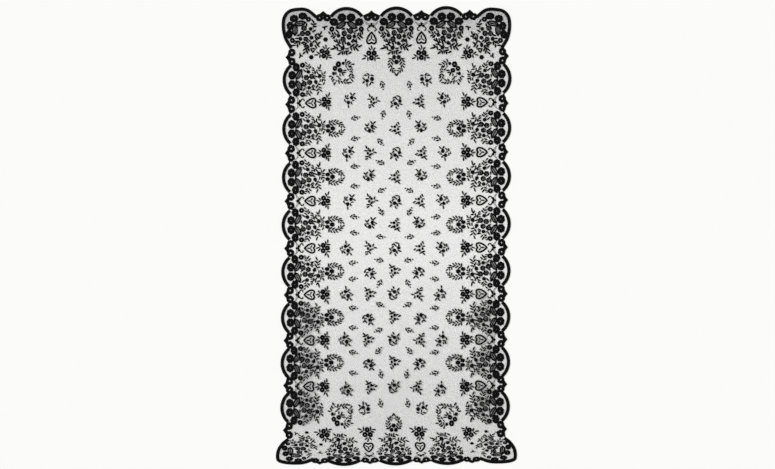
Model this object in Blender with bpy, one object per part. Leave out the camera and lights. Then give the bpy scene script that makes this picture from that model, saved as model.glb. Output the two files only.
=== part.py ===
"""A rectangular black lace mantilla laid flat: a fine net with raised lace motifs, and a scalloped edge braid.

The cloth lies on z = 0 with its width along X and its length along Y. All sizes are in metres.
"""

from collections import namedtuple
from math import asin, cos, pi, sin

import bmesh
import bpy
from mathutils import Vector
from mathutils.geometry import delaunay_2d_cdt

# Driving sizes of the cloth.
NET_WALL = 0.0010
MOTIF_RELIEF = 0.0006
BRAID_WALL = 0.0018
BRAID_WIDTH = 0.013
SEAM = 0.0003

# The scalloped outline.
SIDE_HALF_CHORD, END_HALF_CHORD = 0.068, 0.073
ARC_STEPS = 4
LOBE_STEPS = 3
PICOT_SHOULDER, PICOT_SHOULDER_SHARE = 0.014, 0.70

# The pad of braid behind each picot, drawn as two lobes side by side, and the half run it is drawn for.
PAD_OFFSETS = (-0.034, -0.022, -0.010, 0.0, 0.010, 0.022, 0.034)
PAD_DEPTHS = (0.014, 0.024, 0.024, 0.018, 0.024, 0.024, 0.014)
PAD_HALF_RUN = 0.037

RIGHT, LEFT, UP, DOWN = Vector((1, 0)), Vector((-1, 0)), Vector((0, 1)), Vector((0, -1))

# How the border is drawn out or squeezed from a chart: a distance u from the crowns becomes u * (near + u * grow).
Bend = namedtuple("Bend", "near grow")

# Each side: a scallop's place along the side and its crown's distance from the middle line, and a picot's
# place with the distances of its foot and of its apex.
Scallop = namedtuple("Scallop", "place reach")
Picot = namedtuple("Picot", "place foot reach")
Edge = namedtuple("Edge", "name axis travel inward half_chord bend scallops picots")

# The plan of a side: where its first scallop lies, the step to the next and how much each step eases, the
# crowns' distance from the middle line and its lean along the side, the depth of the valleys, the height of
# the picots, and how far the two end picots lie beyond the last scallops.
Plan = namedtuple("Plan", "first step ease count reach lean valley picot end_step")
TOP_PLAN = Plan(-0.2175, 0.2175, 0.0, 3, 1.000, 0.009, 0.0375, 0.021, 0.102)
BOTTOM_PLAN = Plan(0.222, -0.225, 0.0, 3, 1.000, -0.009, 0.018, 0.011, 0.107)
RIGHT_PLAN = Plan(0.686, -0.216, 0.0017, 8, 0.498, 0.005, 0.031, 0.019, 0.098)
LEFT_PLAN = Plan(0.680, -0.216, 0.0017, 8, 0.501, -0.007, 0.031, 0.019, 0.098)


def set_out(plan, travel):
    """A side's scallops from its plan, in its direction of travel, and a picot halfway between each two."""
    places = [plan.first + index * (plan.step + plan.ease * index) for index in range(plan.count)]
    places.sort(key=lambda place: place * travel)
    between = [(before + after) / 2 for before, after in zip(places, places[1:])]
    first_picot, last_picot = places[0] - travel * plan.end_step, places[-1] + travel * plan.end_step
    scallops = [Scallop(place, plan.reach + plan.lean * place) for place in places]
    picots = []
    for place in (first_picot, *between, last_picot):
        foot = plan.reach + plan.lean * place - plan.valley
        picots.append(Picot(place, foot, foot + plan.picot))
    return scallops, picots


TOP_EDGE = Edge(
    "edge_braid_top", RIGHT, 1, DOWN, END_HALF_CHORD, Bend(1.05, 0.0), *set_out(TOP_PLAN, 1)
)
RIGHT_EDGE = Edge(
    "edge_braid_right", UP, -1, LEFT, SIDE_HALF_CHORD, Bend(1.0, 0.0), *set_out(RIGHT_PLAN, -1)
)
BOTTOM_EDGE = Edge(
    "edge_braid_bottom", RIGHT, -1, UP, END_HALF_CHORD, Bend(0.52, 1.0), *set_out(BOTTOM_PLAN, -1)
)
LEFT_EDGE = Edge(
    "edge_braid_left", UP, 1, RIGHT, SIDE_HALF_CHORD, Bend(1.0, 0.0), *set_out(LEFT_PLAN, 1)
)

# The corner lobes: a smooth curve from the valley on the long side to the valley on the end, across and inward
# from the corner that their motifs are measured from. The bottom pair flare out and are flatter than the top pair.
TOP_CURVE = (
    (0.035, 0.180), (0.010, 0.135), (0.000, 0.085), (0.005, 0.040),
    (0.030, 0.010), (0.075, 0.000), (0.115, 0.005), (0.155, 0.035),
)
BOTTOM_CURVE = (
    (0.045, 0.115), (0.020, 0.095), (0.000, 0.065), (-0.005, 0.030),
    (0.005, 0.010), (0.045, 0.000), (0.110, 0.000), (0.160, 0.015),
)


def laid_inward(curve, corner):
    """A lobe's curve laid inward from its corner."""
    inward_x, inward_y = (-1 if corner[0] > 0 else 1), (-1 if corner[1] > 0 else 1)
    return [(corner[0] + inward_x * x, corner[1] + inward_y * y) for x, y in curve]


Lobe = namedtuple("Lobe", "corner squeeze curve")
TOP_LEFT, TOP_RIGHT, BOTTOM_RIGHT, BOTTOM_LEFT = (
    Lobe(corner, squeeze, laid_inward(curve, corner))
    for corner, squeeze, curve in (
        ((-0.500, 0.995), 1.0, TOP_CURVE),
        ((0.500, 0.995), 1.0, TOP_CURVE),
        ((0.520, -0.990), 0.68, BOTTOM_CURVE),
        ((-0.520, -0.995), 0.68, BOTTOM_CURVE),
    )
)

# The lace motifs of one scallop: along the edge, inward from its crown.
Blossom = namedtuple("Blossom", "along inward radius")
SCALLOP_BLOSSOMS = (
    Blossom(0.020, 0.042, 0.0165),
    Blossom(0.055, 0.064, 0.0165),
)
LEAF_ROOT, LEAF_TIP, LEAF_WIDTH = (0.003, 0.056), (0.042, 0.084), 0.018
BOUQUET_CENTRE, BOUQUET_REACH, BOUQUET_WAIST, BOUQUET_POINTS = 0.122, 0.036, 0.026, 10

# The same for a corner lobe, inward from its corner.
CORNER_BLOSSOMS = (
    Blossom(0.035, 0.112, 0.0165),
    Blossom(0.037, 0.074, 0.0165),
    Blossom(0.058, 0.048, 0.0165),
    Blossom(0.095, 0.038, 0.0165),
)
CORNER_LEAVES = (((0.060, 0.064), (0.104, 0.056)), ((0.060, 0.068), (0.056, 0.112)))
CORNER_BOUQUET = (0.108, 0.104)

# Behind each picot: a heart, then a sprig of three ringed buds, measured from the line of the crowns.
HEART_TIP, HEART_LENGTH, HEART_HALF, HEART_RIM = 0.104, 0.046, 0.024, 0.006
RING_SPRIG_PLACE, RING_SPRIG_RADIUS = 0.192, 0.024
CORNER_SPRIG_PLACE = (0.190, 0.197)

# The wreaths: one behind each scallop but the outermost, and six near the two ends.
Wreath = namedtuple("Wreath", "x y half_x half_y")
SIDE_WREATH_PLACE, SIDE_WREATH_HALF_X, SIDE_WREATH_HALF_Y = 0.240, 0.045, 0.039
WREATHS = (
    Wreath(-0.238, 0.712, 0.051, 0.053),
    Wreath(0.236, 0.714, 0.051, 0.053),
    Wreath(0.000, 0.741, 0.037, 0.048),
    Wreath(-0.241, -0.780, 0.050, 0.052),
    Wreath(0.226, -0.783, 0.050, 0.052),
    Wreath(-0.012, -0.812, 0.035, 0.042),
)
WREATH_BAND = 0.014

# The rows of sprigs strewn over the middle, whose middle line leans a little across the cloth.
MIDDLE_X, MIDDLE_LEAN = -0.003, 0.010
END_ROW_STEP = 0.012
PICOT_ROW_X = (-0.209, -0.110, 0.0, 0.110, 0.209)
SCALLOP_ROW_X = (-0.114, 0.0, 0.114)
END_SPRIG_X, END_SPRIG_ROWS = 0.125, (0.683, -0.752)
SPRIG_LONG, SPRIG_SHORT = 0.029, 0.021


def at(origin, along, inward, place):
    """The point at (along, inward) of a local frame on the edge."""
    return origin + along * place[0] + inward * place[1]


def crown_arc(crown, valley, along, inward, inset):
    """Points from a scallop's crown round to its valley, on a circle tangent to the edge there."""
    run, drop = (valley - crown).dot(along), (valley - crown).dot(inward)
    radius = (run * run + drop * drop) / (2 * drop)
    sweep = asin(min(1.0, abs(run) / radius))
    side = 1 if run > 0 else -1
    points = []
    for step in range(ARC_STEPS + 1):
        angle = sweep * step / ARC_STEPS
        place = (side * (radius - inset) * sin(angle), radius - (radius - inset) * cos(angle))
        points.append(at(crown, along, inward, place))
    return points


def smooth(points):
    """A smooth curve through a few points."""
    knots = [Vector(point) for point in points]
    knots = [knots[0] * 2 - knots[1], *knots, knots[-1] * 2 - knots[-2]]
    curve = []
    for before, first, last, after in zip(knots, knots[1:], knots[2:], knots[3:]):
        for step in range(LOBE_STEPS):
            t = step / LOBE_STEPS
            curve.append(
                0.5 * (
                    first * 2
                    + (last - before) * t
                    + (before * 2 - first * 5 + last * 4 - after) * t ** 2
                    + (first * 3 - before - last * 3 + after) * t ** 3
                )
            )
    return [*curve, knots[-2]]


def moved_inward(path, distance):
    """A clockwise path moved towards the middle of the cloth."""
    moved = []
    for index, point in enumerate(path):
        before, after = path[max(index - 1, 0)], path[min(index + 1, len(path) - 1)]
        heading = (after - before).normalized()
        moved.append(point + Vector((heading.y, -heading.x)) * distance)
    return moved


def lobe_band(lobe, forward):
    """A corner lobe's outer and inner path, run clockwise."""
    outer = smooth(lobe.curve if forward else lobe.curve[::-1])
    return outer, moved_inward(outer, BRAID_WIDTH)


def on_edge(edge, place, reach):
    """A point of one side from its place along the side and its distance from the middle line."""
    return edge.axis * place - edge.inward * reach


def picot_points(edge, picot, first, last):
    """The outer points of a picot between two valleys, and the inner points of the pad behind it."""
    shoulder = picot.foot + (picot.reach - picot.foot) * PICOT_SHOULDER_SHARE
    outer = [
        on_edge(edge, picot.place - edge.travel * PICOT_SHOULDER, shoulder),
        on_edge(edge, picot.place, picot.reach),
        on_edge(edge, picot.place + edge.travel * PICOT_SHOULDER, shoulder),
    ]
    along = edge.axis * edge.travel
    middle = on_edge(edge, ((first + last) / 2).dot(edge.axis), picot.foot)
    size = min(1.0, abs((last - first).dot(along)) / 2 / PAD_HALF_RUN)
    pad = [
        at(middle, along, edge.inward, (offset * size, depth * size))
        for offset, depth in zip(PAD_OFFSETS, PAD_DEPTHS)
    ]
    return outer, pad


def edge_path(edge, start, finish):
    """One side's outer and inner path between two corner lobes."""
    along = edge.axis * edge.travel
    outer, inner, valley = [start], [], start
    for scallop, picot, following in zip([*edge.scallops, None], edge.picots, [*edge.picots[1:], None]):
        if scallop:
            next_valley = on_edge(edge, scallop.place - edge.travel * edge.half_chord, picot.foot)
        else:
            next_valley = finish
        points, pad = picot_points(edge, picot, valley, next_valley)
        outer += [*points, next_valley]
        inner += pad
        if scallop:
            crown = on_edge(edge, scallop.place, scallop.reach)
            valley = on_edge(edge, scallop.place + edge.travel * edge.half_chord, following.foot)
            outer += crown_arc(crown, next_valley, along, edge.inward, 0.0)[-2::-1]
            outer += crown_arc(crown, valley, along, edge.inward, 0.0)[1:]
            inner += crown_arc(crown, next_valley, along, edge.inward, BRAID_WIDTH)[::-1]
            inner += crown_arc(crown, valley, along, edge.inward, BRAID_WIDTH)[1:]
    return outer, inner


def perimeter():
    """The braid's four lengths, clockwise from the top left."""
    top_left, top_right = lobe_band(TOP_LEFT, True), lobe_band(TOP_RIGHT, False)
    bottom_right, bottom_left = lobe_band(BOTTOM_RIGHT, True), lobe_band(BOTTOM_LEFT, False)
    top = edge_path(TOP_EDGE, top_left[0][-1], top_right[0][0])
    right = edge_path(RIGHT_EDGE, top_right[0][-1], bottom_right[0][0])
    bottom = edge_path(BOTTOM_EDGE, bottom_right[0][-1], bottom_left[0][0])
    left = edge_path(LEFT_EDGE, bottom_left[0][-1], top_left[0][0])
    return {
        TOP_EDGE.name: (
            top_left[0] + top[0][1:-1] + top_right[0],
            top_left[1] + top[1] + top_right[1],
        ),
        RIGHT_EDGE.name: right,
        BOTTOM_EDGE.name: (
            bottom_right[0] + bottom[0][1:-1] + bottom_left[0],
            bottom_right[1] + bottom[1] + bottom_left[1],
        ),
        LEFT_EDGE.name: left,
    }


def inset_loop(points, distance):
    """A closed clockwise loop moved inward by a small distance."""
    moved = []
    for index, point in enumerate(points):
        before = (point - points[index - 1]).normalized()
        after = (points[(index + 1) % len(points)] - point).normalized()
        normal_before, normal_after = Vector((before.y, -before.x)), Vector((after.y, -after.x))
        bisector = (normal_before + normal_after).normalized()
        moved.append(point + bisector * distance / max(0.5, bisector.dot(normal_after)))
    return moved


def oval(centre, half_x, half_y, count, turn=0.0):
    """A closed polygon on an ellipse."""
    points = []
    for index in range(count):
        angle = turn + 2 * pi * index / count
        points.append(Vector((centre[0] + half_x * cos(angle), centre[1] + half_y * sin(angle))))
    return points


def leaf_outline(root, tip, width):
    """A pointed leaf of six points."""
    axis = tip - root
    across = Vector((-axis.y, axis.x)).normalized() * width / 2
    return [
        root,
        root + axis * 0.3 - across,
        root + axis * 0.68 - across * 0.85,
        tip,
        root + axis * 0.68 + across * 0.85,
        root + axis * 0.3 + across,
    ]


def heart_outline(tip, length, half):
    """A heart of eight points with its tip towards the edge."""
    half_shape = ((0.0, 0.0), (0.62, 0.36), (1.0, 0.70), (0.62, 1.0), (0.0, 0.80))
    shape = [*half_shape, *((-x, y) for x, y in half_shape[3:0:-1])]
    return [Vector((half * x, tip + length * y)) for x, y in shape]


def bouquet_outline(centre, along, inward):
    """A bouquet's cluster of roses as one rosette."""
    points = []
    for index in range(BOUQUET_POINTS):
        radius = BOUQUET_WAIST if index % 2 else BOUQUET_REACH
        angle = 2 * pi * index / BOUQUET_POINTS + pi / 2
        points.append(at(centre, along, inward, (radius * cos(angle), radius * sin(angle))))
    return points


def counter_clockwise(points):
    area = sum(a.x * b.y - b.x * a.y for a, b in zip(points, points[1:] + points[:1]))
    return points if area > 0 else points[::-1]


def scallop_chart():
    """Blossoms, a pair of leaves and the bouquet of one scallop, inward from its crown."""
    shapes = []
    for side in (-1, 1):
        for blossom in SCALLOP_BLOSSOMS:
            shapes.append(oval((side * blossom.along, blossom.inward), blossom.radius, blossom.radius, 6, pi / 6))
        root, tip = Vector((side * LEAF_ROOT[0], LEAF_ROOT[1])), Vector((side * LEAF_TIP[0], LEAF_TIP[1]))
        shapes.append(leaf_outline(root, tip, LEAF_WIDTH))
    shapes.append(bouquet_outline(Vector((0.0, BOUQUET_CENTRE)), RIGHT, UP))
    return shapes


def corner_motifs(lobe):
    """The same set of motifs turned round a corner lobe."""
    origin = Vector(lobe.corner)
    along = LEFT if origin.x > 0 else RIGHT
    inward = (DOWN if origin.y > 0 else UP) * lobe.squeeze
    shapes = []
    for blossom in CORNER_BLOSSOMS:
        centre = at(origin, along, inward, (blossom.along, blossom.inward))
        shapes.append(oval(centre, blossom.radius, blossom.radius * (0.4 + 0.6 * lobe.squeeze), 6))
    for root, tip in CORNER_LEAVES:
        shapes.append(
            leaf_outline(at(origin, along, inward, root), at(origin, along, inward, tip), LEAF_WIDTH * 0.9)
        )
    shapes.append(bouquet_outline(at(origin, along, inward, CORNER_BOUQUET), along, inward))
    sprig = at(origin, along, inward, CORNER_SPRIG_PLACE)
    shapes.append(oval(sprig, RING_SPRIG_RADIUS, RING_SPRIG_RADIUS, 6))
    return shapes


def heart_chart():
    """The heart and the ringed sprig behind a picot, inward from the crowns, and the opening of the heart."""
    outer = heart_outline(HEART_TIP, HEART_LENGTH, HEART_HALF)
    opening = heart_outline(HEART_TIP + HEART_RIM * 1.6, HEART_LENGTH - HEART_RIM * 2.8, HEART_HALF - HEART_RIM)
    sprig = oval((0.0, RING_SPRIG_PLACE), RING_SPRIG_RADIUS, RING_SPRIG_RADIUS, 6, pi / 6)
    return [outer, sprig], [opening]


def wreath_motif(wreath):
    """A leafy wreath and its opening."""
    outer = oval((wreath.x, wreath.y), wreath.half_x, wreath.half_y, 8, pi / 8)
    opening = oval((wreath.x, wreath.y), wreath.half_x - WREATH_BAND, wreath.half_y - WREATH_BAND, 6)
    return outer, opening


def shared_places(left, right):
    """The places halfway between the two long sides' scallops or picots, from the top down."""
    return [(one.place + other.place) / 2 for one, other in zip(reversed(left), right)]


def field_sprigs():
    """The sprigs strewn over the middle, each a slanted lozenge of six points, leaning in turn."""
    picot_rows = shared_places(LEFT_EDGE.picots[1:-1], RIGHT_EDGE.picots[1:-1])
    picot_rows = [picot_rows[0] + END_ROW_STEP, *picot_rows[1:-1], picot_rows[-1] - END_ROW_STEP]
    scallop_rows = shared_places(LEFT_EDGE.scallops[1:-1], RIGHT_EDGE.scallops[1:-1])
    places = [(x, y) for y in picot_rows for x in PICOT_ROW_X]
    places += [(x, y) for y in scallop_rows for x in SCALLOP_ROW_X]
    places += [(side * END_SPRIG_X, y) for y in END_SPRIG_ROWS for side in (-1, 1)]
    shapes = []
    for x, y in places:
        lean = pi / 2 if x == 0 else (pi / 4 if x < 0 else 3 * pi / 4)
        axis = Vector((cos(lean), sin(lean)))
        across = Vector((-axis.y, axis.x))
        centre = Vector((x + MIDDLE_X + MIDDLE_LEAN * y, y))
        shapes.append(
            [
                centre + axis * SPRIG_LONG * cos(step * pi / 3) + across * SPRIG_SHORT * sin(step * pi / 3)
                for step in range(6)
            ]
        )
    return shapes


def bent(shape, origin, edge):
    """A charted shape set down on one side, drawn out or squeezed as that border is."""
    along = edge.axis * edge.travel
    placed = []
    for across, inward in shape:
        reach = inward * (edge.bend.near + inward * edge.bend.grow)
        placed.append(at(origin, along, edge.inward, (across, reach)))
    return placed


def lace_pattern():
    """All raised shapes of the net, and the openings inside some of them."""
    raised, openings = [], []
    for edge in (TOP_EDGE, RIGHT_EDGE, BOTTOM_EDGE, LEFT_EDGE):
        for scallop in edge.scallops:
            crown = on_edge(edge, scallop.place, scallop.reach)
            raised += [bent(shape, crown, edge) for shape in scallop_chart()]
        hearts, holes = heart_chart()
        for picot, before, after in zip(edge.picots[1:], edge.scallops, edge.scallops[1:]):
            crown_line = on_edge(edge, picot.place, (before.reach + after.reach) / 2)
            raised += [bent(shape, crown_line, edge) for shape in hearts]
            openings += [bent(shape, crown_line, edge) for shape in holes]
    for lobe in (TOP_LEFT, TOP_RIGHT, BOTTOM_RIGHT, BOTTOM_LEFT):
        raised += corner_motifs(lobe)
    side_wreaths = [
        Wreath(
            edge.inward.x * (SIDE_WREATH_PLACE - scallop.reach), scallop.place,
            SIDE_WREATH_HALF_X, SIDE_WREATH_HALF_Y,
        )
        for edge in (LEFT_EDGE, RIGHT_EDGE)
        for scallop in edge.scallops[1:-1]
    ]
    for wreath in [*WREATHS, *side_wreaths]:
        outer, opening = wreath_motif(wreath)
        raised.append(outer)
        openings.append(opening)
    return raised + field_sprigs(), openings


def cloth_material(name, colour, roughness):
    """A matte black thread finish."""
    material = bpy.data.materials.new(name)
    material.use_nodes = True
    shader = material.node_tree.nodes["Principled BSDF"]
    shader.inputs["Base Color"].default_value = (*colour, 1.0)
    shader.inputs["Roughness"].default_value = roughness
    shader.inputs["Metallic"].default_value = 0.0
    return material


def add_object(name, body, material):
    """Makes one named object of a finished bmesh."""
    bmesh.ops.recalc_face_normals(body, faces=body.faces)
    mesh = bpy.data.meshes.new(name)
    body.to_mesh(mesh)
    body.free()
    mesh.materials.append(material)
    bpy.context.scene.collection.objects.link(bpy.data.objects.new(name, mesh))


def close_below(body):
    """Drops the open rim of a top surface to z = 0 and closes the flat underside."""
    rim = [edge for edge in body.edges if len(edge.link_faces) == 1]
    walls = bmesh.ops.extrude_edge_only(body, edges=rim)["geom"]
    for vertex in (item for item in walls if isinstance(item, bmesh.types.BMVert)):
        vertex.co.z = 0.0
    lower = [item for item in walls if isinstance(item, bmesh.types.BMEdge) and len(item.link_faces) == 1]
    bmesh.ops.contextual_create(body, geom=lower)


def build_net(outline, raised, openings, material):
    """The net ground: a flat sheet whose lace motifs stand up from its top."""
    polygons = [counter_clockwise(shape) for shape in [outline, *raised, *openings]]
    points, faces = [], []
    for polygon in polygons:
        faces.append(list(range(len(points), len(points) + len(polygon))))
        points += polygon
    found_points, _, found_faces, _, _, sources = delaunay_2d_cdt(points, [], faces, 1, 1e-6)
    body = bmesh.new()
    vertices = [body.verts.new((point.x, point.y, NET_WALL)) for point in found_points]
    motif_faces = []
    for face, source in zip(found_faces, sources):
        if 0 not in source:
            continue
        made = body.faces.new([vertices[index] for index in face])
        in_shape = any(0 < index <= len(raised) for index in source)
        in_opening = any(index > len(raised) for index in source)
        if in_shape and not in_opening:
            motif_faces.append(made)
    bmesh.ops.delete(body, geom=[vertex for vertex in vertices if not vertex.link_faces], context="VERTS")
    close_below(body)
    lifted = bmesh.ops.extrude_face_region(body, geom=motif_faces, use_keep_orig=True)["geom"]
    bmesh.ops.delete(body, geom=motif_faces, context="FACES")
    for vertex in (item for item in lifted if isinstance(item, bmesh.types.BMVert)):
        vertex.co.z += MOTIF_RELIEF
    add_object("net_ground", body, material)


def build_braid(name, outer, inner, material):
    """One length of the edge braid, cut square at its two ends with half a seam to its neighbours."""
    loop = outer + inner[::-1]
    turn = len(outer)
    for place, neighbour in ((0, 1), (turn - 1, turn - 2), (turn, turn + 1), (-1, -2)):
        loop[place] = loop[place] + (loop[neighbour] - loop[place]).normalized() * SEAM / 2
    body = bmesh.new()
    body.faces.new([body.verts.new((point.x, point.y, BRAID_WALL)) for point in loop])
    close_below(body)
    add_object(name, body, material)


def main():
    for old in list(bpy.data.objects):
        bpy.data.objects.remove(old)
    lengths = perimeter()
    raised, openings = lace_pattern()
    inner_loop = [point for _, inner in lengths.values() for point in inner]
    net_outline = inset_loop(inner_loop, SEAM)
    build_net(net_outline, raised, openings, cloth_material("net_thread", (0.012, 0.012, 0.013), 0.8))
    braid_thread = cloth_material("braid_thread", (0.008, 0.008, 0.009), 0.7)
    for name, (outer, inner) in lengths.items():
        build_braid(name, outer, inner, braid_thread)


main()
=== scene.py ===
"""A rectangular black lace mantilla laid flat: a net ground, corded lace motifs and a scalloped rim."""

from collections import namedtuple
from math import asin, atan2, cos, degrees, hypot, pi, radians, sin

import bmesh
import bpy
import numpy as np
from bpy.props import FloatProperty, FloatVectorProperty, PointerProperty
from bpy.types import Operator, Panel, PropertyGroup
from mathutils import Matrix, Vector
from mathutils.geometry import delaunay_2d_cdt


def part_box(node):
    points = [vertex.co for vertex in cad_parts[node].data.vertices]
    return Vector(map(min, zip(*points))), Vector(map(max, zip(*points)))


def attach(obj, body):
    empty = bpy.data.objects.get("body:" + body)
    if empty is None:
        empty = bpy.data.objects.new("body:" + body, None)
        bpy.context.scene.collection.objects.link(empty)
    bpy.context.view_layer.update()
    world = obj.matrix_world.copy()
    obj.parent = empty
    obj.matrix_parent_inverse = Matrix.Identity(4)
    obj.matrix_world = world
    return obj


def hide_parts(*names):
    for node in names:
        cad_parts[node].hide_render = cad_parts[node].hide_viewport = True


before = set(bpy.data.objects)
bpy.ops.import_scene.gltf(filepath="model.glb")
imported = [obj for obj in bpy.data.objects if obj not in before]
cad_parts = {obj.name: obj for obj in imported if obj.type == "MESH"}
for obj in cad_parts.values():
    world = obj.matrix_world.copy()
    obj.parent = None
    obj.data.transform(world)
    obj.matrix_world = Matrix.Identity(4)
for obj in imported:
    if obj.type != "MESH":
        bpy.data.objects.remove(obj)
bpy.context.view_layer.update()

bl_info = {
    "name": "Lace mantilla",
    "version": (1, 0, 0),
    "blender": (4, 5, 0),
    "location": "3D View > Sidebar > Mantilla",
    "description": "Builds the net, the lace motifs and the scalloped rim of a mantilla that lies flat",
    "category": "Object",
}

MM = 0.001
NET_LOW, NET_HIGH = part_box("net_ground")
RIGHT, LEFT, UP, DOWN = Vector((1, 0)), Vector((-1, 0)), Vector((0, 1)), Vector((0, -1))

# The scalloped outline, in metres.
BRAID_WIDTH, ROOF_OVERLAP = 0.0145, 0.0025
SIDE_HALF_CHORD, END_HALF_CHORD = 0.068, 0.073
TOP_RING_GAP, SIDE_RING_GAP, BOTTOM_RING_GAP = 0.0165, 0.0195, 0.0205
NET_INSET = 0.0025
ARC_STEPS, LOBE_STEPS = 12, 6
PICOT_SHOULDER, PICOT_SHOULDER_SHARE = 0.012, 0.50

# How a border follows its chart: a distance u from the crowns becomes u * near, and beyond the knee it is
# drawn out more. The lean carries the motifs along the edge as they go inward.
Bend = namedtuple("Bend", "near knee grow lean", defaults=(0.0, 0.0, 0.0))
PLAIN_BEND = Bend(1.0)

# Each side: a scallop's place along the side and its crown's distance from the middle line, and a picot's
# place with the distances of its foot and of its apex. The ring gap is half the distance between the two
# rings of a picot.
Scallop = namedtuple("Scallop", "place reach")
Picot = namedtuple("Picot", "place foot reach")
Edge = namedtuple("Edge", "name axis travel inward half_chord ring_gap bend scallops picots")

# The plan of a side: where its first scallop lies, the step to the next and how much each step eases, the
# crowns' distance from the middle line and its lean along the side, the depth of the valleys, the height of
# the picots, and how far the two end picots lie beyond the last scallops.
Plan = namedtuple("Plan", "first step ease count reach lean valley picot end_step")
TOP_PLAN = Plan(-0.2175, 0.2175, 0.0, 3, 1.000, 0.009, 0.0375, 0.021, 0.102)
BOTTOM_PLAN = Plan(0.222, -0.225, 0.0, 3, 1.000, -0.009, 0.018, 0.011, 0.107)
RIGHT_PLAN = Plan(0.686, -0.216, 0.0017, 8, 0.498, 0.005, 0.031, 0.019, 0.098)
LEFT_PLAN = Plan(0.680, -0.216, 0.0017, 8, 0.501, -0.007, 0.031, 0.019, 0.098)


def set_out(plan, travel):
    """A side's scallops from its plan, in its direction of travel, and a picot halfway between each two."""
    places = [plan.first + index * (plan.step + plan.ease * index) for index in range(plan.count)]
    places.sort(key=lambda place: place * travel)
    between = [(before + after) / 2 for before, after in zip(places, places[1:])]
    first_picot, last_picot = places[0] - travel * plan.end_step, places[-1] + travel * plan.end_step
    scallops = [Scallop(place, plan.reach + plan.lean * place) for place in places]
    picots = []
    for place in (first_picot, *between, last_picot):
        foot = plan.reach + plan.lean * place - plan.valley
        picots.append(Picot(place, foot, foot + plan.picot))
    return scallops, picots


TOP_EDGE = Edge(
    "edge_braid_top", RIGHT, 1, DOWN, END_HALF_CHORD, TOP_RING_GAP, Bend(1.10), *set_out(TOP_PLAN, 1)
)
RIGHT_EDGE = Edge(
    "edge_braid_right", UP, -1, LEFT, SIDE_HALF_CHORD, SIDE_RING_GAP, Bend(1.02), *set_out(RIGHT_PLAN, -1)
)
BOTTOM_EDGE = Edge(
    "edge_braid_bottom", RIGHT, -1, UP, END_HALF_CHORD, BOTTOM_RING_GAP, Bend(0.585, 0.1, 1.8, -0.075),
    *set_out(BOTTOM_PLAN, -1),
)
LEFT_EDGE = Edge(
    "edge_braid_left", UP, 1, RIGHT, SIDE_HALF_CHORD, SIDE_RING_GAP, Bend(0.99), *set_out(LEFT_PLAN, 1)
)
EDGES = (TOP_EDGE, RIGHT_EDGE, BOTTOM_EDGE, LEFT_EDGE)

# The corner lobes: a smooth curve from the valley on the long side to the valley on the end, across and
# inward from their corner. Their motifs are measured from the corner too, moved out by the shift, and the
# sprig is the place of their ring sprig. The rings of a bottom picot are squeezed too.
TOP_CURVE = (
    (0.035, 0.180), (0.010, 0.135), (0.000, 0.085), (0.005, 0.040),
    (0.030, 0.010), (0.075, 0.000), (0.115, 0.005), (0.155, 0.035),
)
BOTTOM_CURVE = (
    (0.045, 0.115), (0.020, 0.095), (0.000, 0.065), (-0.005, 0.030),
    (0.005, 0.010), (0.045, 0.000), (0.110, 0.000), (0.160, 0.015),
)


def laid_inward(curve, corner):
    """A lobe's curve laid inward from its corner."""
    inward_x, inward_y = (-1 if corner[0] > 0 else 1), (-1 if corner[1] > 0 else 1)
    return [(corner[0] + inward_x * x, corner[1] + inward_y * y) for x, y in curve]


Lobe = namedtuple("Lobe", "corner shift bend sprig curve")
TOP_SPRIG, BOTTOM_SPRIG = (0.186, 0.198), (0.205, 0.140)
SQUEEZED, SQUEEZED_RINGS = Bend(0.68), Bend(0.72)
TOP_LEFT, TOP_RIGHT, BOTTOM_RIGHT, BOTTOM_LEFT = (
    Lobe(corner, shift, bend, sprig, laid_inward(curve, corner))
    for corner, shift, bend, sprig, curve in (
        ((-0.500, 0.995), 0.0, PLAIN_BEND, TOP_SPRIG, TOP_CURVE),
        ((0.500, 0.995), 0.0, PLAIN_BEND, TOP_SPRIG, TOP_CURVE),
        ((0.520, -0.990), 0.008, SQUEEZED, BOTTOM_SPRIG, BOTTOM_CURVE),
        ((-0.520, -0.995), 0.008, SQUEEZED, BOTTOM_SPRIG, BOTTOM_CURVE),
    )
)
LOBES = (TOP_LEFT, TOP_RIGHT, BOTTOM_RIGHT, BOTTOM_LEFT)

Spot = namedtuple("Spot", "origin along inward bend")

# Heights in the cloth, in metres above its lowest thread, and how thick each kind of work is.
NET_LEVEL, NET_THICKNESS = 0.00045, 0.0003
STITCH_LEVEL, STITCH_THICKNESS = 0.00025, 0.0007
RIM_LEVEL, RIM_THICKNESS = 0.0002, 0.0009
RING_THICKNESS, GROUND_THICKNESS = STITCH_THICKNESS * 0.8, 0.0003
RIM_CORD_HEIGHT, MIDDLE_CORD_HEIGHT, HEART_HEIGHT = 0.0015, 0.0013, 0.0011
HOOK_HEIGHT, COIL_HEIGHT, STEM_HEIGHT, ARC_HEIGHT = 0.0009, 0.0009, 0.0006, 0.0005

# Charts of the lace, in millimetres and degrees. A stitch is one worked element: across and inward from the
# middle of its motif, its width and length, and its turn. A leaflet runs from its stem to its tip. On the
# borders, inward is counted from the crowns; on the rest of the cloth it runs down.
Stitch = namedtuple("Stitch", "kind across inward wide long turn", defaults=(0,))
Leaf = namedtuple("Leaf", "across inward tip_across tip_inward")


def mirrored(*rows):
    """The rows of a motif's right half, each with its mirror image."""
    both = []
    for row in rows:
        other = row._replace(across=-row.across)
        if isinstance(row, Leaf):
            other = other._replace(tip_across=-row.tip_across)
        else:
            other = other._replace(turn=-row.turn)
        both += [row, other]
    return tuple(both)


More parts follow.
